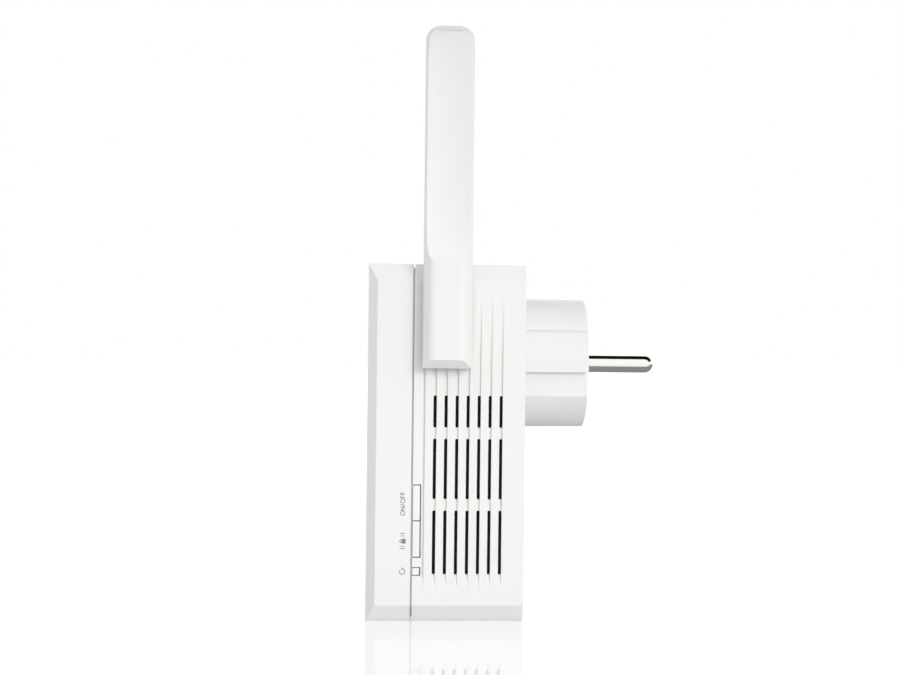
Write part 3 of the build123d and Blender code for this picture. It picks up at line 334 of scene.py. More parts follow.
@dataclass(frozen=True)
class WovenScreen(Finish):
    """Plain-woven polyester dust screen."""

    name: str
    colour: str
    gap: str                   # darkness between the threads
    thread_mm: float
    roughness: float = 0.7
    bump_share: float = 0.2        # height of a thread, as a share of the pitch

    def shader(self, tree: bpy.types.NodeTree) -> bpy.types.Node:
        """Builds crossed threads from two bands of waves.

        Args:
            tree: Empty node tree of the material.

        Returns:
            The surface shader.
        """
        place = millimetres(tree)
        threads = [
            add_node(
                tree,
                "ShaderNodeTexWave",
                {"Vector": place, "Scale": WAVE_SCALE / self.thread_mm},
                bands_direction=direction,
            ).outputs["Fac"]
            for direction in ("Y", "Z")
        ]
        weave = add_node(
            tree,
            "ShaderNodeMath",
            {0: threads[0], 1: threads[1]},
            operation="MAXIMUM",
        )
        colour = add_node(
            tree,
            "ShaderNodeMix",
            {0: weave.outputs[0], 6: hex_to_linear(self.gap), 7: hex_to_linear(self.colour)},
            data_type="RGBA",
        )
        bump = add_node(
            tree,
            "ShaderNodeBump",
            {"Height": weave.outputs[0], "Distance": self.bump_share * self.thread_mm * MM},
        )
        return add_node(
            tree,
            "ShaderNodeBsdfPrincipled",
            {
                "Base Color": colour.outputs[2],
                "Roughness": self.roughness,
                "Normal": bump.outputs["Normal"],
            },
        )


@dataclass(frozen=True)
class CircuitBoard(Finish):
    """Glass-fibre board under solder mask, with copper tracks that show through."""

    name: str
    mask: str
    track: str
    cloth_mm: float = 0.5      # pitch of the glass cloth
    cloth_depth_mm: float = 0.01
    track_mm: float = 2.2      # spacing of the tracks
    track_edge: float = 0.42   # distance from a cell's middle at which copper starts
    roughness: float = 0.35
    ior: float = 1.55

    def shader(self, tree: bpy.types.NodeTree) -> bpy.types.Node:
        """Builds tracks from cell edges and the cloth as a faint bump.

        Args:
            tree: Empty node tree of the material.

        Returns:
            The surface shader.
        """
        place = millimetres(tree)
        cells = add_node(
            tree,
            "ShaderNodeTexVoronoi",
            {"Vector": place, "Scale": 1 / self.track_mm, "Randomness": 0.6},
            distance="CHEBYCHEV",
        )
        tracks = add_node(
            tree,
            "ShaderNodeMath",
            {0: cells.outputs["Distance"], 1: self.track_edge},
            operation="GREATER_THAN",
        )
        colour = add_node(
            tree,
            "ShaderNodeMix",
            {0: tracks.outputs[0], 6: hex_to_linear(self.mask), 7: hex_to_linear(self.track)},
            data_type="RGBA",
        )
        cloth = add_node(
            tree,
            "ShaderNodeTexWave",
            {"Vector": place, "Scale": WAVE_SCALE / self.cloth_mm, "Distortion": 0.4},
            bands_direction="DIAGONAL",
        )
        bump = add_node(
            tree,
            "ShaderNodeBump",
            {"Height": cloth.outputs["Fac"], "Distance": self.cloth_depth_mm * MM},
        )
        return add_node(
            tree,
            "ShaderNodeBsdfPrincipled",
            {
                "Base Color": colour.outputs[2],
                "Roughness": self.roughness,
                "IOR": self.ior,
                "Normal": bump.outputs["Normal"],
            },
        )


@dataclass(frozen=True)
class ClearMoulding(Finish):
    """Clear plastic or glass with faint ripples from its mould."""

    name: str
    tint: str
    roughness: float
    ior: float
    ripple_mm: float = 3.0
    ripple_depth_mm: float = 0.02
    roughness_share: float = 0.5   # by which the ripples change the roughness

    def shader(self, tree: bpy.types.NodeTree) -> bpy.types.Node:
        """Builds a transmitting shader whose surface ripples slightly.

        Args:
            tree: Empty node tree of the material.

        Returns:
            The surface shader.
        """
        ripples = add_node(
            tree,
            "ShaderNodeTexNoise",
            {"Vector": millimetres(tree), "Scale": 1 / self.ripple_mm, "Detail": 1.0},
        )
        gloss = add_node(
            tree,
            "ShaderNodeMapRange",
            {
                "Value": ripples.outputs["Fac"],
                "To Min": self.roughness * (1 - self.roughness_share),
                "To Max": self.roughness * (1 + self.roughness_share),
            },
        )
        bump = add_node(
            tree,
            "ShaderNodeBump",
            {"Height": ripples.outputs["Fac"], "Distance": self.ripple_depth_mm * MM},
        )
        return add_node(
            tree,
            "ShaderNodeBsdfPrincipled",
            {
                "Base Color": hex_to_linear(self.tint),
                "Roughness": gloss.outputs["Result"],
                "IOR": self.ior,
                "Transmission Weight": 1.0,
                "Normal": bump.outputs["Normal"],
            },
        )


# ABS off a spark-eroded tool: a soft satin white that hides sink marks.
HOUSING_ABS = MouldedPlastic("spark_eroded_white_abs", "#F1F1EF", "#EFEFED", 0.42, 0.35, 0.004)
# The same resin from a smoother tool, so the antennas catch slightly clearer highlights.
ANTENNA_ABS = MouldedPlastic("satin_white_abs", "#F1F1EF", "#F0F0EE", 0.36, 0.4, 0.003)
# Button caps are polished where fingers press them.
BUTTON_ABS = MouldedPlastic("polished_white_abs", "#F2F2F0", "#F0F0EE", 0.30, 0.5, 0.002)
# Heat-resistant polycarbonate of the plug: a dense, slightly cooler white.
PLUG_PC = MouldedPlastic("moulded_white_polycarbonate", "#F0F0F0", "#EEEEEE", 0.40, 0.4, 0.004)
# Glossy polycarbonate of the socket, which mirrors its own recess a little.
SOCKET_PC = MouldedPlastic("gloss_white_polycarbonate", "#F0F0EF", "#EDEDEC", 0.18, 0.8, 0.001)
# Glass-filled nylon of the shutter: mid grey with a dry, slightly mottled surface.
GREY_NYLON = MouldedPlastic("glass_filled_grey_nylon", "#8F9193", "#85878A", 0.55, 0.3, 0.01)
# Black mesh behind the slots, near black so that the slots show plain darkness: painted shade inside
# the housing, with a hint of weave.
SHADE_BLACK_SCREEN = WovenScreen("woven_black_painted_shade", "#0B0B0C", "#020202", 0.35)
# Nickel over turned brass: bright, warm grey, with fine rings from the lathe.
NICKEL_PIN = Metal("nickel_plated_brass", "#DDDBD6", "#D5D3CE", 0.045, 0.3, Lay.ROUND_THE_PIN)
# Nickel over rolled spring strip: lines along the strip blur its reflections.
NICKEL_STRIP = Metal("nickel_plated_spring_strip", "#CFCCC5", "#C2BEB5", 0.24, 0.4, Lay.ALONG_Y)
# Punched brass bars with the yellow of the bare sheet.
BARE_BRASS = Metal("rolled_brass", "#D9B866", "#C2A052", 0.30, 0.5, Lay.ALONG_Z)
# Zinc plating on the screws: bluish grey and slightly cloudy.
ZINC_STEEL = Metal("zinc_plated_steel", "#B9BDC1", "#A4A9AE", 0.32, 0.6, Lay.ALL_WAYS)
# Drawn spring steel: darker, with the sheen of its oil finish.
SPRING_STEEL = Metal("drawn_spring_steel", "#9A9A9B", "#828284", 0.28, 0.3, Lay.ALL_WAYS)
# Tin-plated sheet of the shield and the jack: bright, with rolling lines.
TINNED_STEEL = Metal("tinned_steel_sheet", "#CDD0D2", "#BCC0C3", 0.22, 0.5, Lay.ALONG_Z)
# Hard gold on the jack's wires: a deep yellow glint in the port.
GOLD_WIRE = Metal("gold_plated_wire", "#E6C063", "#D8AE50", 0.18, 0.2, Lay.ALONG_Z)
# Anodised heat sink: matt silver grey.
ANODISED = Metal("anodised_aluminium", "#B4B8BB", "#A6AAAE", 0.42, 0.4, Lay.ALONG_Z)
# Etched copper of the radiators, browned by handling.
COPPER = Metal("etched_copper", "#C98A5E", "#A86A42", 0.35, 0.6, Lay.ALL_WAYS)
# Solder mask over glass cloth: deep green with paler tracks.
FR4 = CircuitBoard("solder_masked_fibreglass", "#0F5A2E", "#1C7A42")
# Transfer-moulded epoxy of chips and switches: near black and dull.
BLACK_EPOXY = MouldedPlastic("moulded_black_epoxy", "#161618", "#1D1D20", 0.5, 0.2, 0.006)
# Dip coating of the varistor: glossy blue with drips.
BLUE_EPOXY = MouldedPlastic("dipped_blue_epoxy", "#17408C", "#1C4C9E", 0.25, 1.5, 0.02)
# Tape round the transformer: amber polyester with lapped edges.
AMBER_TAPE = MouldedPlastic("amber_polyester_tape", "#D9A22B", "#C98F1E", 0.28, 2.0, 0.02)
# Shrink sleeve of the capacitors: tight, glossy black PVC.
SHRINK_SLEEVE = MouldedPlastic("black_shrink_sleeve", "#101014", "#17171C", 0.3, 1.2, 0.008)
# Extruded jacket of the antenna leads: matt black.
COAX_JACKET = MouldedPlastic("extruded_black_pvc", "#0E0E0F", "#151516", 0.55, 0.4, 0.006)
# Milky silicone dome over each light's phosphor.
LED_DOME = MouldedPlastic("phosphor_silicone", "#E9DFA6", "#E3D48C", 0.35, 0.3, 0.004)
# Polished acrylic of the light guide: its ends show as small clear windows.
CLEAR_ACRYLIC = ClearMoulding("clear_acrylic", "#F7FAFB", 0.05, 1.49)
# Drawn glass of the fuse.
FUSE_GLASS = ClearMoulding("drawn_glass", "#EAF2EC", 0.03, 1.52)
# Pad-printed ink of the side marks: flat mid grey with slightly uneven cover.
PRINT_INK = MouldedPlastic("pad_printed_grey_ink", "#7E7F80", "#8A8B8C", 0.6, 0.1, 0.001, 0.6)


# ---------------------------------------------------------------- mesh helpers
@dataclass(frozen=True)
class Sheet:
    """Flat place for printed marks, in the frame's metres."""

    origin: Vector
    right: Vector
    up: Vector

    def at(self, spot: Flat, lift: float) -> Vector:
        """Returns the point right and up by millimetres, and lifted by metres."""
        normal = self.right.cross(self.up)
        return self.origin + (self.right * spot[0] + self.up * spot[1]) * MM + normal * lift


def arc(centre: Flat, radius: float, start: float, end: float, steps: int = 20) -> Stroke:
    """Draws an arc.

    Args:
        centre: Its middle.
        radius: Its radius.
        start: Angle of its first point in degrees, anticlockwise from the right.
        end: Angle of its last point in degrees.
        steps: Straight pieces that it is made of.

    Returns:
        Points along the arc.
    """
    angles = [math.radians(start + (end - start) * i / steps) for i in range(steps + 1)]
    return [
        (centre[0] + radius * math.cos(a), centre[1] + radius * math.sin(a)) for a in angles
    ]


def ellipse(centre: Flat, half_width: float, half_height: float) -> Stroke:
    """Returns points round a whole ellipse."""
    unit = arc((0, 0), 1.0, 0, 360, 28)
    return [(centre[0] + half_width * x, centre[1] + half_height * y) for x, y in unit]


def add_stroke(
    mesh: bmesh.types.BMesh,
    sheet: Sheet,
    points: Stroke,
    width: float,
    lift: float,
) -> None:
    """Adds one pen stroke to a mesh as a ribbon with mitred corners.

    Args:
        mesh: Mesh that gets the ribbon.
        sheet: Plane that the stroke lies on.
        points: The stroke's middle line in millimetres.
        width: Its width in millimetres.
        lift: Its height above the plane in metres.
    """
    closed = math.dist(points[0], points[-1]) < SAME_POINT_MM
    sides: list[list[bmesh.types.BMVert]] = []
    for i, point in enumerate(points):
        before = points[i - 1] if i else (points[-2] if closed else point)
        after = points[i + 1] if i + 1 < len(points) else (points[1] if closed else point)
        into = Vector((point[0] - before[0], point[1] - before[1]))
        out = Vector((after[0] - point[0], after[1] - point[1]))
        into = into.normalized() if into.length else out.normalized()
        out = out.normalized() if out.length else into
        along = (into + out).normalized()
        across = Vector((-along.y, along.x)) * (width / 2 / max(MITRE_LIMIT, along.dot(out)))
        sides.append([
            mesh.verts.new(sheet.at((point[0] + s * across.x, point[1] + s * across.y), lift))
            for s in (-1, 1)
        ])
    for (right, left), (next_right, next_left) in zip(sides, sides[1:]):
        mesh.faces.new((right, next_right, next_left, left))


def print_marks(name: str, sheet: Sheet, strokes: Iterable[Stroke], width: float) -> bpy.types.Object:
    """Prints pen strokes on a sheet as one thin piece of ink.

    Args:
        name: Name of the piece.
        sheet: Plane that it is printed on.
        strokes: Middle lines in millimetres.
        width: Pen width in millimetres.

    Returns:
        The piece, in grey ink, riding on the chassis.
    """
    mesh = bmesh.new()
    for number, points in enumerate(strokes):
        add_stroke(mesh, sheet, points, width, (INK_LIFT_MM + INK_STEP_MM * number) * MM)
    data = bpy.data.meshes.new(name)
    mesh.to_mesh(data)
    mesh.free()
    piece = bpy.data.objects.new(name, data)
    bpy.context.scene.collection.objects.link(piece)
    PRINT_INK.put_on(piece)
    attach(piece, "chassis")
    return piece


def moved(strokes: Iterable[Stroke], right: float, up: float, scale: float = 1.0) -> list[Stroke]:
    """Returns strokes scaled about their origin and shifted."""
    return [[(right + scale * x, up + scale * y) for x, y in points] for points in strokes]


class Glyph(Enum):
    """Letters of the switch's mark, one unit high: width, then strokes."""

    O = (0.94, (tuple(ellipse((0.47, 0.5), 0.47, 0.5)),))
    N = (0.74, (((0, 0), (0, 1)), ((0, 1), (0.74, 0)), ((0.74, 0), (0.74, 1))))
    SLASH = (0.42, (((0, -0.06), (0.42, 1.06)),))
    F = (0.54, (((0, 0), (0, 1), (0.54, 1)), ((0, 0.52), (0.48, 0.52))))


def spell(glyphs: Sequence[Glyph], height: float, gap: float) -> list[Stroke]:
    """Sets letters side by side, centred on the origin.

    Args:
        glyphs: Letters in order.
        height: Letter height in millimetres.
        gap: Space between letters as a share of the height.

    Returns:
        Strokes in millimetres.
    """
    length = sum(glyph.value[0] for glyph in glyphs) + gap * (len(glyphs) - 1)
    strokes: list[Stroke] = []
    pen = -length / 2
    for glyph in glyphs:
        width, lines = glyph.value
        strokes += moved(moved(lines, pen, -0.5), 0, 0, height)
        pen += width + gap
    return strokes


def padlock(size: float) -> list[Stroke]:
    """Draws a closed padlock with a filled body.

    Args:
        size: Its height in millimetres, about.

    Returns:
        Strokes round the origin.
    """
    body = [(-0.36, -0.5), (0.36, -0.5), (0.36, 0.06), (-0.36, 0.06), (-0.36, -0.5)]
    fill = [[(-0.36, level), (0.36, level)] for level in (-0.36, -0.22, -0.08)]
    shackle = [(0.22, 0.06), *arc((0, 0.22), 0.22, 0, 180, 12), (-0.22, 0.06)]
    return moved([body, *fill, shackle], 0, 0, size)


def waves(
    reach: float,
    directions: Sequence[float],
    rings: int = 2,
    half_fan: float = 20,
    ring_step: float = 0.3,
) -> list[Stroke]:
    """Draws radio waves that spread from the origin.

    Args:
        reach: Radius of the outermost wave in millimetres.
        directions: Middle angle of each fan in degrees.
        rings: Waves in each fan.
        half_fan: Degrees from a fan's middle to its edge.
        ring_step: Space between waves, as a share of the reach.

    Returns:
        One arc for each wave.
    """
    return [
        arc((0, 0), reach * (1 - ring_step * ring), middle - half_fan, middle + half_fan, 8)
        for middle in directions
        for ring in range(rings)
    ]


# ---------------------------------------------------------------- sub-assemblies
@dataclass
class Assembly:
    """A group of CAD nodes with their finishes."""

    title: str

    def finishes(self) -> dict[Finish, tuple[str, ...]]:
        """Returns the CAD nodes that each finish covers."""
        return {}

    def build(self) -> list[bpy.types.Object]:
        """Makes the pieces that the CAD doesn't have and returns them."""
        return []

    def dress(self) -> int:
        """Covers the CAD nodes with their finishes.

        Returns:
            How many nodes there are.
        """
        count = 0
        for finish, names in self.finishes().items():
            finish.put_on(*(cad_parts[name] for name in names))
            count += len(names)
        return count


@dataclass
class Housing(Assembly):
    """Vented two-part housing with its printed marks."""

    mark_height_mm: float = 1.1
    mark_gap: float = 0.28         # between letters, as a share of their height
    mark_inset_mm: float = 9.67    # front face to the marks' middle line
    switch_drop_mm: float = 0.75   # middle of the switch, flange included, to its mark
    lock_mm: float = 1.5
    wave_reach_mm: float = 2.0
    restart_radius_mm: float = 0.72
    pen_mm: float = 0.2
    icon_drop_mm: float = 3.4      # lights to the icons below them
    icon_mm: float = 1.9
    light_mm: float = 1.6          # length of one light along the row

    def finishes(self) -> dict[Finish, tuple[str, ...]]:
        """Lists the housing's finishes.

        Returns:
            The CAD nodes that each finish covers.
        """
        return {
            HOUSING_ABS: ("front_cover", "rear_housing"),
            # The vent screens are near black as painted shade inside the housing.
            SHADE_BLACK_SCREEN: ("vent_screen_left", "vent_screen_right"),
            ZINC_STEEL: ("case_screws",),
        }

    def side_sheet(self, height: float) -> Sheet:
        """Finds the strip beside the buttons, whose marks read upward.

        Args:
            height: Where the mark's middle stands in the frame, in metres.

        Returns:
            Sheet with its origin at the mark's middle.
        """
        low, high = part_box("front_cover")
        middle = Vector((high.x, low.y + self.mark_inset_mm * MM, height))
        return Sheet(middle, Vector((0, 0, 1)), Vector((0, -1, 0)))

    def button_marks(self) -> list[bpy.types.Object]:
        """Prints a mark beside each button.

        Returns:
            One piece of ink for each button.
        """
        switch = spell(
            (Glyph.O, Glyph.N, Glyph.SLASH, Glyph.O, Glyph.F, Glyph.F),
            self.mark_height_mm,
            self.mark_gap,
        )
        pair = padlock(self.lock_mm) + waves(self.wave_reach_mm, (0, 180))
        circle = arc((0, 0), 1, 60, 360, 24)
        arrow = [(0.5, 0.3), (1, -0.15), (1.4, 0.4)]
        restart = moved([circle, arrow], 0, 0, self.restart_radius_mm)
        marks = {
            "power_button": (switch, self.switch_drop_mm),
            "pair_button": (pair, 0.0),
            "reset_button": (restart, 0.0),
        }
        pieces = []
        for node, (strokes, drop) in marks.items():
            low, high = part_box(node)
            sheet = self.side_sheet((low.z + high.z) / 2 - drop * MM)
            pieces.append(print_marks(f"{node}_mark", sheet, strokes, self.pen_mm))
        return pieces

    def light_icons(self) -> bpy.types.Object:
        """Prints an icon under each light on the front.

        Returns:
            One piece of ink with all the icons.
        """
        low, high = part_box("status_leds")
        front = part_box("front_cover")[0].y
        row = Vector(((low.x + high.x) / 2, front, (low.z + high.z) / 2 - self.icon_drop_mm * MM))
        half = self.icon_mm / 2
        power = [arc((0, 0), half, 125, 415, 20), [(0, 0.1), (0, half * 1.1)]]
        radio = [arc((0, -half), half * r, 45, 135, 8) for r in (0.5, 1.15, 1.8)]
        bar_tops = ((-0.9, -0.4), (-0.3, 0.0), (0.3, 0.5), (0.9, 1.0))
        bars = moved([[(x, -1), (x, top)] for x, top in bar_tops], 0, 0, half)
        plug = ((-1, -1), (1, -1), (1, 0.5), (0.4, 0.5), (0.4, 1), (-0.4, 1), (-0.4, 0.5), (-1, 0.5))
        port = moved([[*plug, plug[0]]], 0, 0, half)
        icons = (power, padlock(self.icon_mm), radio, bars, port)
        pitch = (high.x - low.x - self.light_mm * MM) / (len(icons) - 1) / MM
        strokes: list[Stroke] = []
        for number, icon in enumerate(icons):
            strokes += moved(icon, (number - (len(icons) - 1) / 2) * pitch, 0)
        sheet = Sheet(row, Vector((1, 0, 0)), Vector((0, 0, 1)))
        return print_marks("light_icons", sheet, strokes, self.pen_mm)

    def build(self) -> list[bpy.types.Object]:
        """Prints the marks of the buttons and the lights."""
        return [*self.button_marks(), self.light_icons()]


@dataclass
class WallPlug(Assembly):
    """Earthed hybrid plug on the rear face."""

    def finishes(self) -> dict[Finish, tuple[str, ...]]:
        """Lists the plug's finishes.

        Returns:
            The CAD nodes that each finish covers.
        """
        return {
            PLUG_PC: ("plug_body",),
            NICKEL_PIN: ("plug_pin_left", "plug_pin_right"),
            NICKEL_STRIP: ("plug_earth_strip_top", "plug_earth_strip_bottom", "plug_earth_tube"),
        }


@dataclass
class PassThroughSocket(Assembly):
    """Shuttered outlet in the front face and the bars that feed it."""

    def finishes(self) -> dict[Finish, tuple[str, ...]]:
        """Lists the socket's finishes.

        Returns:
            The CAD nodes that each finish covers.
        """
        return {
            SOCKET_PC: ("socket_insert",),
            GREY_NYLON: ("socket_base", "socket_shutter"),
            SPRING_STEEL: ("shutter_spring",),
            ZINC_STEEL: ("socket_screws",),
            NICKEL_PIN: ("socket_contact_left", "socket_contact_right"),
            NICKEL_STRIP: ("socket_earth_strap",),
            BARE_BRASS: ("line_bar", "neutral_bar", "earth_bar"),
        }


@dataclass
class Electronics(Assembly):
    """Boards and the parts on them."""

    def finishes(self) -> dict[Finish, tuple[str, ...]]:
        """Lists the finishes of the boards and their parts.

        Returns:
            The CAD nodes that each finish covers.
        """
        return {
            FR4: ("main_board", "power_board", "port_board", "button_board"),
            TINNED_STEEL: ("rf_shield", "ethernet_jack"),
            BLACK_EPOXY: ("processor", "bridge_rectifier", "choke"),
            ANODISED: ("heat_sink",),
            LED_DOME: ("status_leds",),
            CLEAR_ACRYLIC: ("light_pipe",),
            AMBER_TAPE: ("transformer",),
            SHRINK_SLEEVE: ("input_capacitor", "output_capacitor"),
            FUSE_GLASS: ("fuse",),
            BLUE_EPOXY: ("varistor",),
            GOLD_WIRE: ("ethernet_contacts",),
            ZINC_STEEL: ("board_screws",),
        }


@dataclass
class Buttons(Assembly):
    """Three caps on the side and their switches."""

    names: tuple[str, ...] = ("power", "pair", "reset")

    def finishes(self) -> dict[Finish, tuple[str, ...]]:
        """Lists the finishes of caps and switches.

        Returns:
            The CAD nodes that each finish covers.
        """
        return {
            BUTTON_ABS: tuple(f"{name}_button" for name in self.names),
            BLACK_EPOXY: tuple(f"{name}_switch" for name in self.names),
        }


class Side(Enum):
    """Side of the housing that an antenna stands on."""

    RIGHT = "right"
    LEFT = "left"


@dataclass
class Antenna(Assembly):
    """Folding paddle antenna with its hub, radiator and lead."""

    side: Side = Side.RIGHT

    def finishes(self) -> dict[Finish, tuple[str, ...]]:
        """Lists the antenna's finishes.

        Returns:
            The CAD nodes that each finish covers.
        """
        stem = f"antenna_{self.side.value}_"
        return {
            ANTENNA_ABS: (stem + "shell", stem + "lid"),
            SPRING_STEEL: (stem + "washer",),
            ZINC_STEEL: (stem + "clip",),
            COPPER: (stem + "radiator",),
            COAX_JACKET: (stem + "cable",),
        }


# ---------------------------------------------------------------- studio
@dataclass(frozen=True)
class SoftBox:
    """Square lamp with a honeycomb grid, so that its light falls off round its aim.

    Attributes:
        name: Name of the lamp.
        direction: Way from the object to the lamp.
        distance: Metres from the object.
        size: Side length in metres.
        grid: Degrees from one side of the grid's light to the other.
        level: What it adds to a white surface that faces it, as a share of full white.
    """

    name: str
    direction: tuple[float, float, float]
    distance: float
    size: float
    grid: float
    level: float
    mean_reach: ClassVar[float] = 0.3826   # of a square's points from its middle, in sides

    def energy(self) -> float:
        """Works out the lamp's power.

        Returns:
            The watts that give the level at the aim, through the grid.
        """
        half = math.radians(self.grid) / 2
        reach = math.tan(half) - self.mean_reach * self.size / self.distance
        gain = reach / (math.tan(half) - half)
        return self.level * math.pi**2 * self.distance**2 / gain

    def build(self, target: Vector) -> bpy.types.Object:
        """Hangs the lamp and aims it at a point.

        Args:
            target: Point that the lamp faces.

        Returns:
            The lamp.
        """
        lamp = bpy.data.lights.new(self.name, "AREA")
        lamp.shape = "SQUARE"
        lamp.size = self.size
        lamp.spread = math.radians(self.grid)
        lamp.energy = self.energy()
        hung = bpy.data.objects.new(self.name, lamp)
        towards = Vector(self.direction).normalized()
        hung.matrix_world = Matrix.LocRotScale(
            target + towards * self.distance, towards.to_track_quat("Z", "Y"), None
        )
        # As through a polariser: the plastic keeps an even sheen without a hot spot.
        hung.visible_glossy = False
        bpy.context.scene.collection.objects.link(hung)
        return hung


@dataclass(frozen=True)
class WhiteTable(Finish):
    """Polished white laminate that the object stands on, level with a white sweep."""

    name: str
    colour: str = "#DEDEDE"
    # What metal mirrors of the table is painted: a darker grey near the object as painted shade, then
    # a glow farther towards the camera as a painted reflection.
    painted_near_shade_colour: str = "#A6A6A6"
    painted_far_glow: float = 1.2
    glow_start_mm: float = 100.0   # towards the camera, where the painted glow that metal mirrors begins
    glow_end_mm: float = 135.0
    seen_colour: str = "#6C6C6C"
    seen_glow: float = 0.85        # lifts the table to the sweep's white
    polish_ior: float = 1.27
    polish: tuple[float, float] = (0.01, 0.03)   # least and most roughness
    dust_mm: float = 50.0

    def shader(self, tree: bpy.types.NodeTree) -> bpy.types.Node:
        """Builds a pale top that keeps shadows and a faint mirror image, and paints what metal
        mirrors: shade near the object, a glow farther off.

        Args:
            tree: Empty node tree of the material.

        Returns:
            The surface shader.
        """
        rays = add_node(tree, "ShaderNodeLightPath")
        dust = add_node(
            tree,
            "ShaderNodeTexNoise",
            {"Vector": millimetres(tree), "Scale": 1 / self.dust_mm, "Detail": 2.0},
        )
        shine = add_node(
            tree,
            "ShaderNodeMapRange",
            {"Value": dust.outputs["Fac"], "To Min": self.polish[0], "To Max": self.polish[1]},
        )
        plain = add_node(tree, "ShaderNodeBsdfDiffuse", {"Color": hex_to_linear(self.colour)})
        # Painted shade and painted reflection: glossy rays see a darker grey near the object and a
        # white glow farther off.
        shade_for_reflections = add_node(
            tree,
            "ShaderNodeBsdfDiffuse",
            {"Color": hex_to_linear(self.painted_near_shade_colour)},
        )
        glow_for_reflections = add_node(
            tree,
            "ShaderNodeEmission",
            {"Color": WHITE, "Strength": self.painted_far_glow},
        )
        place = add_node(tree, "ShaderNodeSeparateXYZ", {0: millimetres(tree)})
        distance = add_node(
            tree,
            "ShaderNodeMapRange",
            {
                "Value": place.outputs["X"],
                "From Min": self.glow_start_mm,
                "From Max": self.glow_end_mm,
            },
            interpolation_type="SMOOTHSTEP",
        )
        painted_reflection = add_node(
            tree,
            "ShaderNodeMixShader",
            {0: distance.outputs["Result"], 1: shade_for_reflections.outputs[0], 2: glow_for_reflections.outputs[0]},
        )
        dim = add_node(tree, "ShaderNodeBsdfDiffuse", {"Color": hex_to_linear(self.seen_colour)})
        glow = add_node(
            tree,
            "ShaderNodeEmission",
            {"Color": WHITE, "Strength": self.seen_glow},
        )
        lifted = add_node(tree, "ShaderNodeAddShader", {0: dim.outputs[0], 1: glow.outputs[0]})
        mirror = add_node(
            tree,
            "ShaderNodeBsdfGlossy",
            {"Color": WHITE, "Roughness": shine.outputs["Result"]},
        )
        polish = add_node(tree, "ShaderNodeFresnel", {"IOR": self.polish_ior})
        seen = add_node(
            tree,
            "ShaderNodeMixShader",
            {0: polish.outputs[0], 1: lifted.outputs[0], 2: mirror.outputs[0]},
        )
        # Glossy rays get the painted shade and glow, other rays the plain top.
        bounced = add_node(
            tree,
            "ShaderNodeMixShader",
            {0: rays.outputs["Is Glossy Ray"], 1: plain.outputs[0], 2: painted_reflection.outputs[0]},
        )
        return add_node(
            tree,
            "ShaderNodeMixShader",
            {0: rays.outputs["Is Camera Ray"], 1: bounced.outputs[0], 2: seen.outputs[0]},
        )


@dataclass(frozen=True)
class WhiteSweep:
    """World that is white to the eye, lights the object softly and paints dark flags and a brighter
    sky into what metal reflects.

    Attributes:
        ambient: Soft light that the object gets from all sides, as a share of full white.
        painted_reflection: Painted brightness that polished surfaces see beside the painted flags.
        painted_flag_slope: Direction in which the painted flags' near edge ends.
        near_edge: Where it starts and ends along that direction.
        far_edge: Where the flags end along X, behind the object.
        low_edge: Where they end along Z, so that level views don't find them in the table.
    """

    ambient: float = 0.765
    painted_reflection: float = 1.25
    painted_flag_slope: tuple[float, float, float] = (1.0, -0.45, -0.68)
    near_edge: Flat = (-0.38, -0.30)
    far_edge: Flat = (-0.72, -0.82)
    low_edge: Flat = (0.45, 0.30)

    def beside_painted_flags(self, tree: bpy.types.NodeTree) -> bpy.types.NodeSocket:
        """Paints dark flags overhead into what glossy rays see, so that metal keeps a painted dark
        outline.

        Args:
            tree: Node tree of the world.

        Returns:
            Socket with 0 where the flags hang and 1 beside them.
        """
        way = add_node(tree, "ShaderNodeTexCoord").outputs["Generated"]
        split = add_node(tree, "ShaderNodeSeparateXYZ", {0: way})
        near = add_node(
            tree,
            "ShaderNodeVectorMath",
            {0: way, 1: self.painted_flag_slope},
            operation="DOT_PRODUCT",
        )
        edges = (
            (near.outputs["Value"], self.near_edge),
            (split.outputs["X"], self.far_edge),
            (split.outputs["Z"], self.low_edge),
        )
        near_side, far_side, low_side = (
            add_node(
                tree,
                "ShaderNodeMapRange",
                {"Value": value, "From Min": start, "From Max": end},
                interpolation_type="SMOOTHSTEP",
            ).outputs["Result"]
            for value, (start, end) in edges
        )
        sides = add_node(tree, "ShaderNodeMath", {0: near_side, 1: far_side}, operation="MAXIMUM")
        beside = add_node(
            tree,
            "ShaderNodeMath",
            {0: sides.outputs[0], 1: low_side},
            operation="MAXIMUM",
        )
        return beside.outputs[0]

    def build(self) -> bpy.types.World:
        """Makes the world and gives it to the scene.

        Returns:
            The world.
        """
        world = bpy.data.worlds.new("white_sweep")
        bpy.context.scene.world = world
        world.use_nodes = True
        tree = world.node_tree
        tree.nodes.clear()
        rays = add_node(tree, "ShaderNodeLightPath")
        # Painted reflection: glossy rays see a sky brighter than the ambient light, and dark where
        # the painted flags hang.
        painted_reflection = add_node(
            tree,
            "ShaderNodeMapRange",
            {"Value": self.beside_painted_flags(tree), "To Min": 0.0, "To Max": self.painted_reflection},
        )
        soft = add_node(
            tree,
            "ShaderNodeMix",
            {0: rays.outputs["Is Glossy Ray"], 2: self.ambient, 3: painted_reflection.outputs["Result"]},
            data_type="FLOAT",
        )
        strength = add_node(
            tree,
            "ShaderNodeMath",
            {0: soft.outputs[0], 1: rays.outputs["Is Camera Ray"]},
            operation="MAXIMUM",
        )
        light = add_node(
            tree,
            "ShaderNodeBackground",
            {"Color": WHITE, "Strength": strength.outputs[0]},
        )
        add_node(tree, "ShaderNodeOutputWorld", {"Surface": light.outputs[0]})
        return world


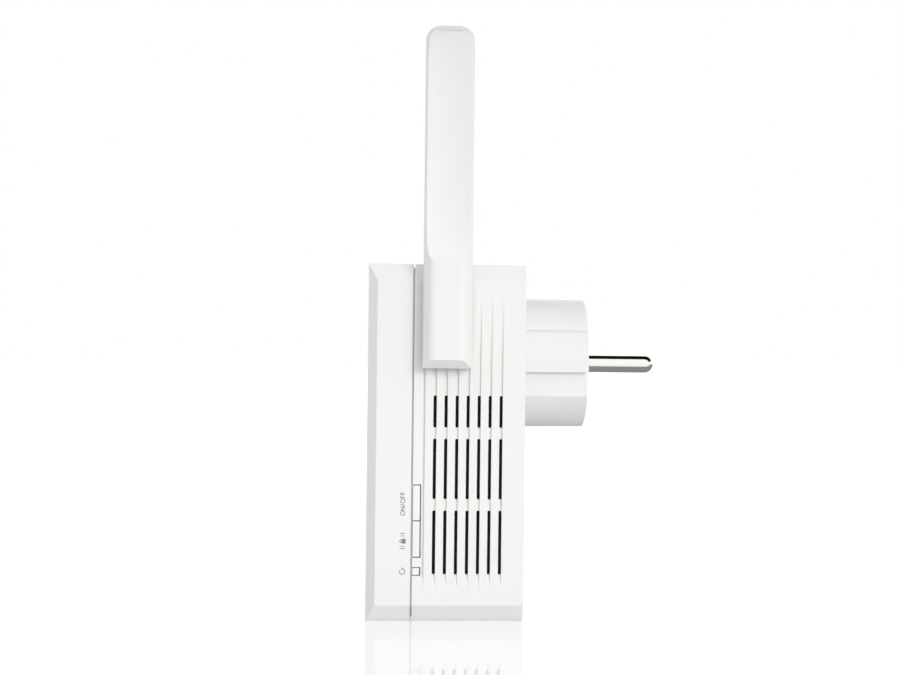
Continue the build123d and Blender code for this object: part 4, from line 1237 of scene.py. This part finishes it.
@dataclass
class Studio:
    """Table, white sweep, key light and camera."""

    sweep: WhiteSweep = WhiteSweep()
    key_light: SoftBox = SoftBox(
        "key_light",
        direction=(0.89, 0.40, 0.22),
        distance=0.7,
        size=0.3,
        grid=32.0,
        level=0.420,
    )
    aim_height: float = 0.3        # of the key light, as a share of the housing
    table_half: float = 6.0
    camera_place: tuple[float, float, float] = (0.3800, -0.02459, 0.00292)
    camera_turn: float = 0.0567    # radians that the view leans towards the wall side
    camera_tilt: float = 0.0020    # radians upward
    camera_roll: float = 0.0112
    lens: float = 52.74
    sensor: float = 36.0
    shift: Flat = (-0.0638, 0.0136)
    nearest: float = 0.01          # metres from the camera at which the view starts

    def table(self) -> bpy.types.Object:
        """Lays the table under the object's lowest point.

        Returns:
            The table.
        """
        level = CAD_BOX[0].z
        half = self.table_half
        mesh = bmesh.new()
        corners = [(-half, -half), (half, -half), (half, half), (-half, half)]
        mesh.faces.new([mesh.verts.new((x, y, level)) for x, y in corners])
        data = bpy.data.meshes.new("table")
        mesh.to_mesh(data)
        mesh.free()
        table = bpy.data.objects.new("table", data)
        bpy.context.scene.collection.objects.link(table)
        WhiteTable("polished_white_laminate").put_on(table)
        return table

    def lamp(self) -> bpy.types.Object:
        """Hangs the key light off the buttons' side, aimed low at the housing's front edge.

        Returns:
            The lamp.
        """
        low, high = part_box("rear_housing")
        aim = Vector((high.x, low.y, low.z + (high.z - low.z) * self.aim_height))
        return self.key_light.build(aim)

    def camera(self) -> bpy.types.Object:
        """Stands the camera off the buttons' side and makes it the scene's.

        Returns:
            The camera.
        """
        lean = math.cos(self.camera_tilt)
        view = Vector((
            -math.cos(self.camera_turn) * lean,
            math.sin(self.camera_turn) * lean,
            math.sin(self.camera_tilt),
        ))
        level = view.cross(Vector((0, 0, 1))).normalized()
        upright = level.cross(view)
        right = level * math.cos(self.camera_roll) + upright * math.sin(self.camera_roll)
        up = right.cross(view)
        data = bpy.data.cameras.new("still_camera")
        data.sensor_width = self.sensor
        data.lens = self.lens
        data.shift_x, data.shift_y = self.shift
        data.clip_start = self.nearest
        camera = bpy.data.objects.new("still_camera", data)
        turn = Matrix((right, up, -view)).transposed().to_4x4()
        camera.matrix_world = Matrix.Translation(self.camera_place) @ turn
        bpy.context.scene.collection.objects.link(camera)
        bpy.context.scene.camera = camera
        return camera

    def build(self) -> None:
        """Sets up table, light and camera."""
        bpy.context.scene.view_settings.view_transform = "Standard"
        self.table()
        self.sweep.build()
        self.lamp()
        self.camera()


def main() -> None:
    """Builds and dresses every sub-assembly, then the studio round it."""
    logging.basicConfig(level=logging.INFO, format="%(name)s: %(message)s")
    assemblies = (
        Housing("housing"),
        WallPlug("wall plug"),
        PassThroughSocket("pass-through socket"),
        Electronics("electronics"),
        Buttons("buttons"),
        Antenna("right antenna", Side.RIGHT),
        Antenna("left antenna", Side.LEFT),
    )
    for assembly in assemblies:
        count = assembly.dress()
        pieces = assembly.build()
        LOG.info("%s: %d nodes dressed, %d pieces made", assembly.title, count, len(pieces))
        for piece in pieces:
            LOG.info("  %s", piece.name)
    Studio().build()


if __name__ == "__main__":
    main()
